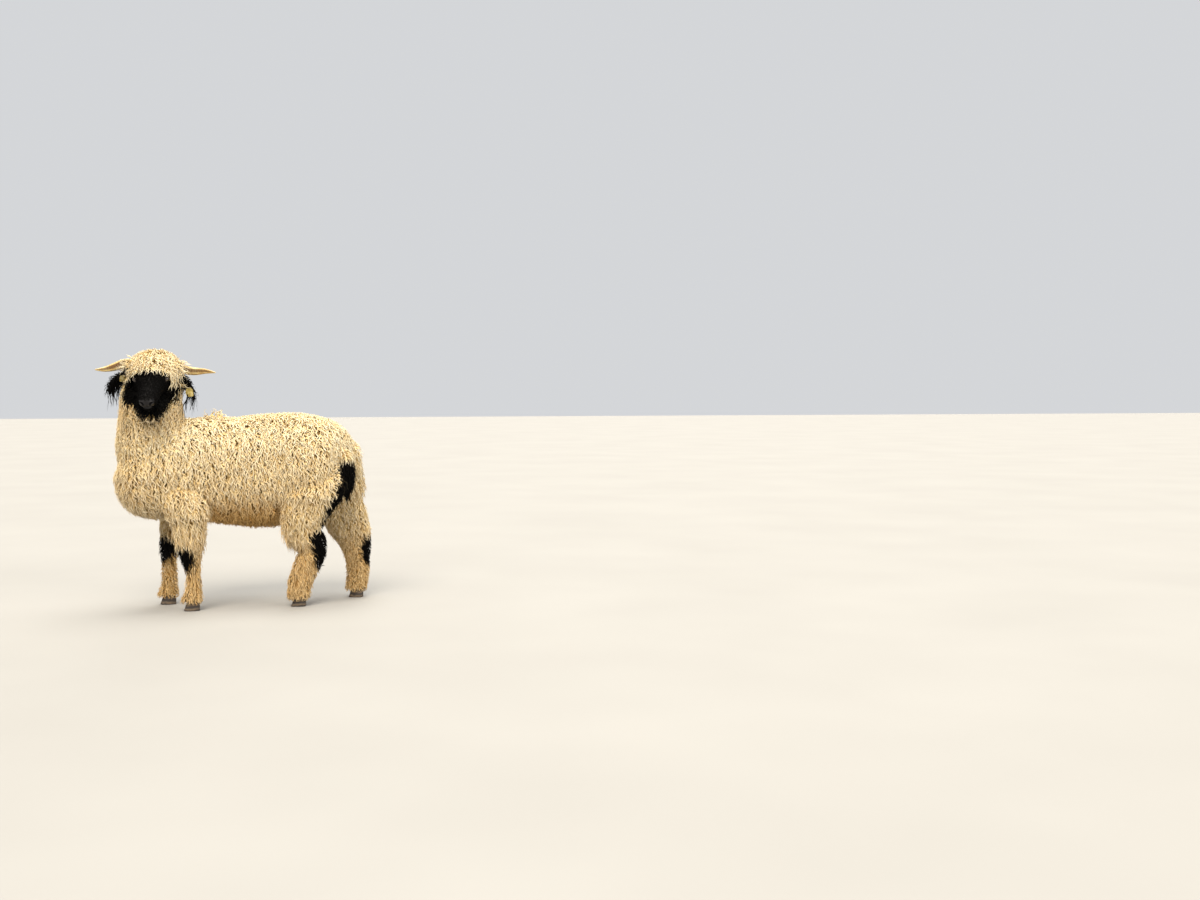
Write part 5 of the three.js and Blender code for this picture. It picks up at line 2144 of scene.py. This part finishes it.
@dataclass
class Studio:
    """A pale floor, soft lights and the photograph's viewpoint."""

    eye: tuple[float, float, float] = (0.0, -5668.0, 880.0)
    yaw: float = 15.1
    down: float = 2.53
    lens: float = 40.0
    sensor: float = 36.0
    softness: float = 40.0
    floor_half: float = 40.0
    air: str = "#EDEFF2"
    air_strength: float = 0.78
    floor: StudioFloor = field(default_factory=StudioFloor)

    def build(self) -> None:
        """Lay the floor, set the lights and place the camera."""
        mesh = bmesh.new()
        bmesh.ops.create_grid(mesh, x_segments=4, y_segments=4, size=self.floor_half)
        ground = finished_object(mesh, "studio_floor", self.floor.make())
        for sun in SUNS:
            self.light(*sun)
        world = bpy.data.worlds.new("studio_air")
        world.use_nodes = True
        background = world.node_tree.nodes["Background"]
        connect(world.node_tree, background, {"Color": linear(self.air), "Strength": self.air_strength})
        bpy.context.scene.world = world
        bpy.context.scene.view_settings.view_transform = "Standard"
        self.camera()

    def light(
        self, name: str, place: Sequence[float], aim: Sequence[float], power: float, colour: str
    ) -> None:
        """Set one distant light, soft because it is wide, so that the floor is lit evenly to its edge.

        Args:
            name: the light's name.
            place: where it stands, in metres.
            aim: the point that it shines at.
            power: its power in watts on each square metre.
            colour: its sRGB colour.
        """
        lamp = bpy.data.lights.new(name, "SUN")
        lamp.angle = math.radians(self.softness)
        lamp.energy = power
        lamp.color = linear(colour)[:3]
        made = linked(name, lamp)
        made.location = place
        made.rotation_euler = (Vector(aim) - Vector(place)).to_track_quat("-Z", "Y").to_euler()

    def camera(self) -> None:
        """Place the camera at the photograph's viewpoint, with its lens."""
        data = bpy.data.cameras.new(PHOTO_CAMERA)
        data.lens = self.lens
        data.sensor_width = self.sensor
        made = linked(PHOTO_CAMERA, data)
        made.location = Vector(metres(np.array(self.eye)))
        made.rotation_euler = (math.radians(90 - self.down), 0.0, -math.radians(self.yaw))
        bpy.context.scene.camera = made


def share_of_coat(
    fore: bool, cut: float, side: int | None = None, bowed: bool = False
) -> Callable[[Array], Array]:
    """Make the test for the roots that belong to one piece of the coat.

    Args:
        fore: whether the piece lies ahead of the cut.
        cut: where the coat is cut across her, in millimetres.
        side: her left or right side, or None for both.
        bowed: whether the sides part along her spine, which bows, instead of the middle plane.

    Returns:
        A function that tells which of its points belong to the piece.
    """

    def belongs(points: Array) -> Array:
        """Tell which points belong to the piece."""
        chosen = (points[:, 0] < cut) == fore
        if side is not None:
            middle = spine_y(points[:, 0]) if bowed else 0.0
            chosen &= (points[:, 1] < middle) == (side == LEFT_SIDE)
        return chosen

    return belongs


@dataclass
class Ewe:
    """The whole ewe, put together from her parts."""

    samples: int = 700000
    seed: int = 11
    leg_cut: float = 60.0

    def build(self) -> None:
        """Build each part, say what it rides on, and hide the solids that it stands for."""
        skin = Skin().build()
        hard = ("eye", "horn", "claw", "tag")
        flesh = [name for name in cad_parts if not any(word in name for word in hard)]
        self.place(skin, *flesh)
        self.wool(skin)
        self.hard_parts()

    def coats(self) -> list[Coat]:
        """List the pieces of the coat."""
        legs = (Region.THIGH, Region.SHANK)
        pieces = []
        for side, first_seed in ((LEFT_SIDE, 2), (RIGHT_SIDE, 4)):
            for fore, end, seed in ((True, "fore", first_seed), (False, "rear", first_seed + 1)):
                name = f"fleece_{SIDE_NAMES[side]}_{end}"
                strays = (WITHERS_WISPS,) if fore and side == LEFT_SIDE else ()
                test = share_of_coat(fore, 0.0, side, bowed=True)
                pieces.append(Coat(name, (Region.TRUNK,), test, strays, seed=seed))
        pieces.append(Coat("fleece_neck", (Region.NECK,), strays=RINGLETS, seed=6))
        pieces.append(Coat("fleece_forelegs", legs, share_of_coat(True, self.leg_cut), seed=7))
        for side, seed in ((LEFT_SIDE, 8), (RIGHT_SIDE, 13)):
            test = share_of_coat(False, self.leg_cut, side)
            pieces.append(Coat(f"fleece_hindleg_{SIDE_NAMES[side]}", legs, test, seed=seed))
        pieces.append(Coat("tail_wool", (Region.TAIL,), seed=14))
        pieces.append(Coat("topknot", (Region.CROWN,), strays=HORN_CURLS, seed=9))
        pieces.append(Coat("face_wool", (Region.FACE,), seed=10))
        pieces.append(Coat("cheek_and_ear_wool", (Region.CHEEK, Region.EAR), strays=(EAR_TASSELS,), seed=12))
        return pieces

    def wool(self, skin: Object) -> None:
        """Grow the coat, piece by piece."""
        samples = SkinSamples.of(skin, self.samples, self.seed)
        fleece = RawFleece().make()
        for coat in self.coats():
            piece = coat.build(samples, fleece)
            self.place(piece)
            LOG.info("%s: %d triangles", piece.name, len(piece.data.polygons))

    def hard_parts(self) -> None:
        """Make the horns, eyes, hooves and tags, each in the place of its solid."""
        horn, eye, hoof, plastic = (kind().make() for kind in (HornKeratin, WetEye, HoofKeratin, TagPlastic))
        for side, name in SIDE_NAMES.items():
            self.dress(Horn(side).build(horn), f"horn_{name}")
            self.dress(Eye(side).build(eye), f"eye_{name}")
            self.dress(EarTag(side, TAG_PLACES[side]).build(plastic), f"ear_tag_{name}")
        for leg in LEGS:
            for pair, name in ((1, "outer"), (-1, "inner")):
                self.dress(Hooves(leg).build(pair, hoof), f"{leg.name}_claw_{name}")

    def dress(self, piece: Object, node: str) -> None:
        """Let a piece ride on her one body and hide the solid that it stands for."""
        self.place(piece, node)

    @staticmethod
    def place(piece: Object, *nodes: str) -> None:
        """Let a piece ride on her one body, in the place of any solids named."""
        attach(piece, "root")
        if nodes:
            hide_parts(*nodes)
        LOG.info("%s rides on root", piece.name)


def main() -> None:
    """Build the ewe and the studio round her."""
    logging.basicConfig(level=logging.INFO, format="%(relativeCreated)d ms %(message)s")
    Ewe().build()
    Studio().build()


if __name__ == "__main__":
    main()
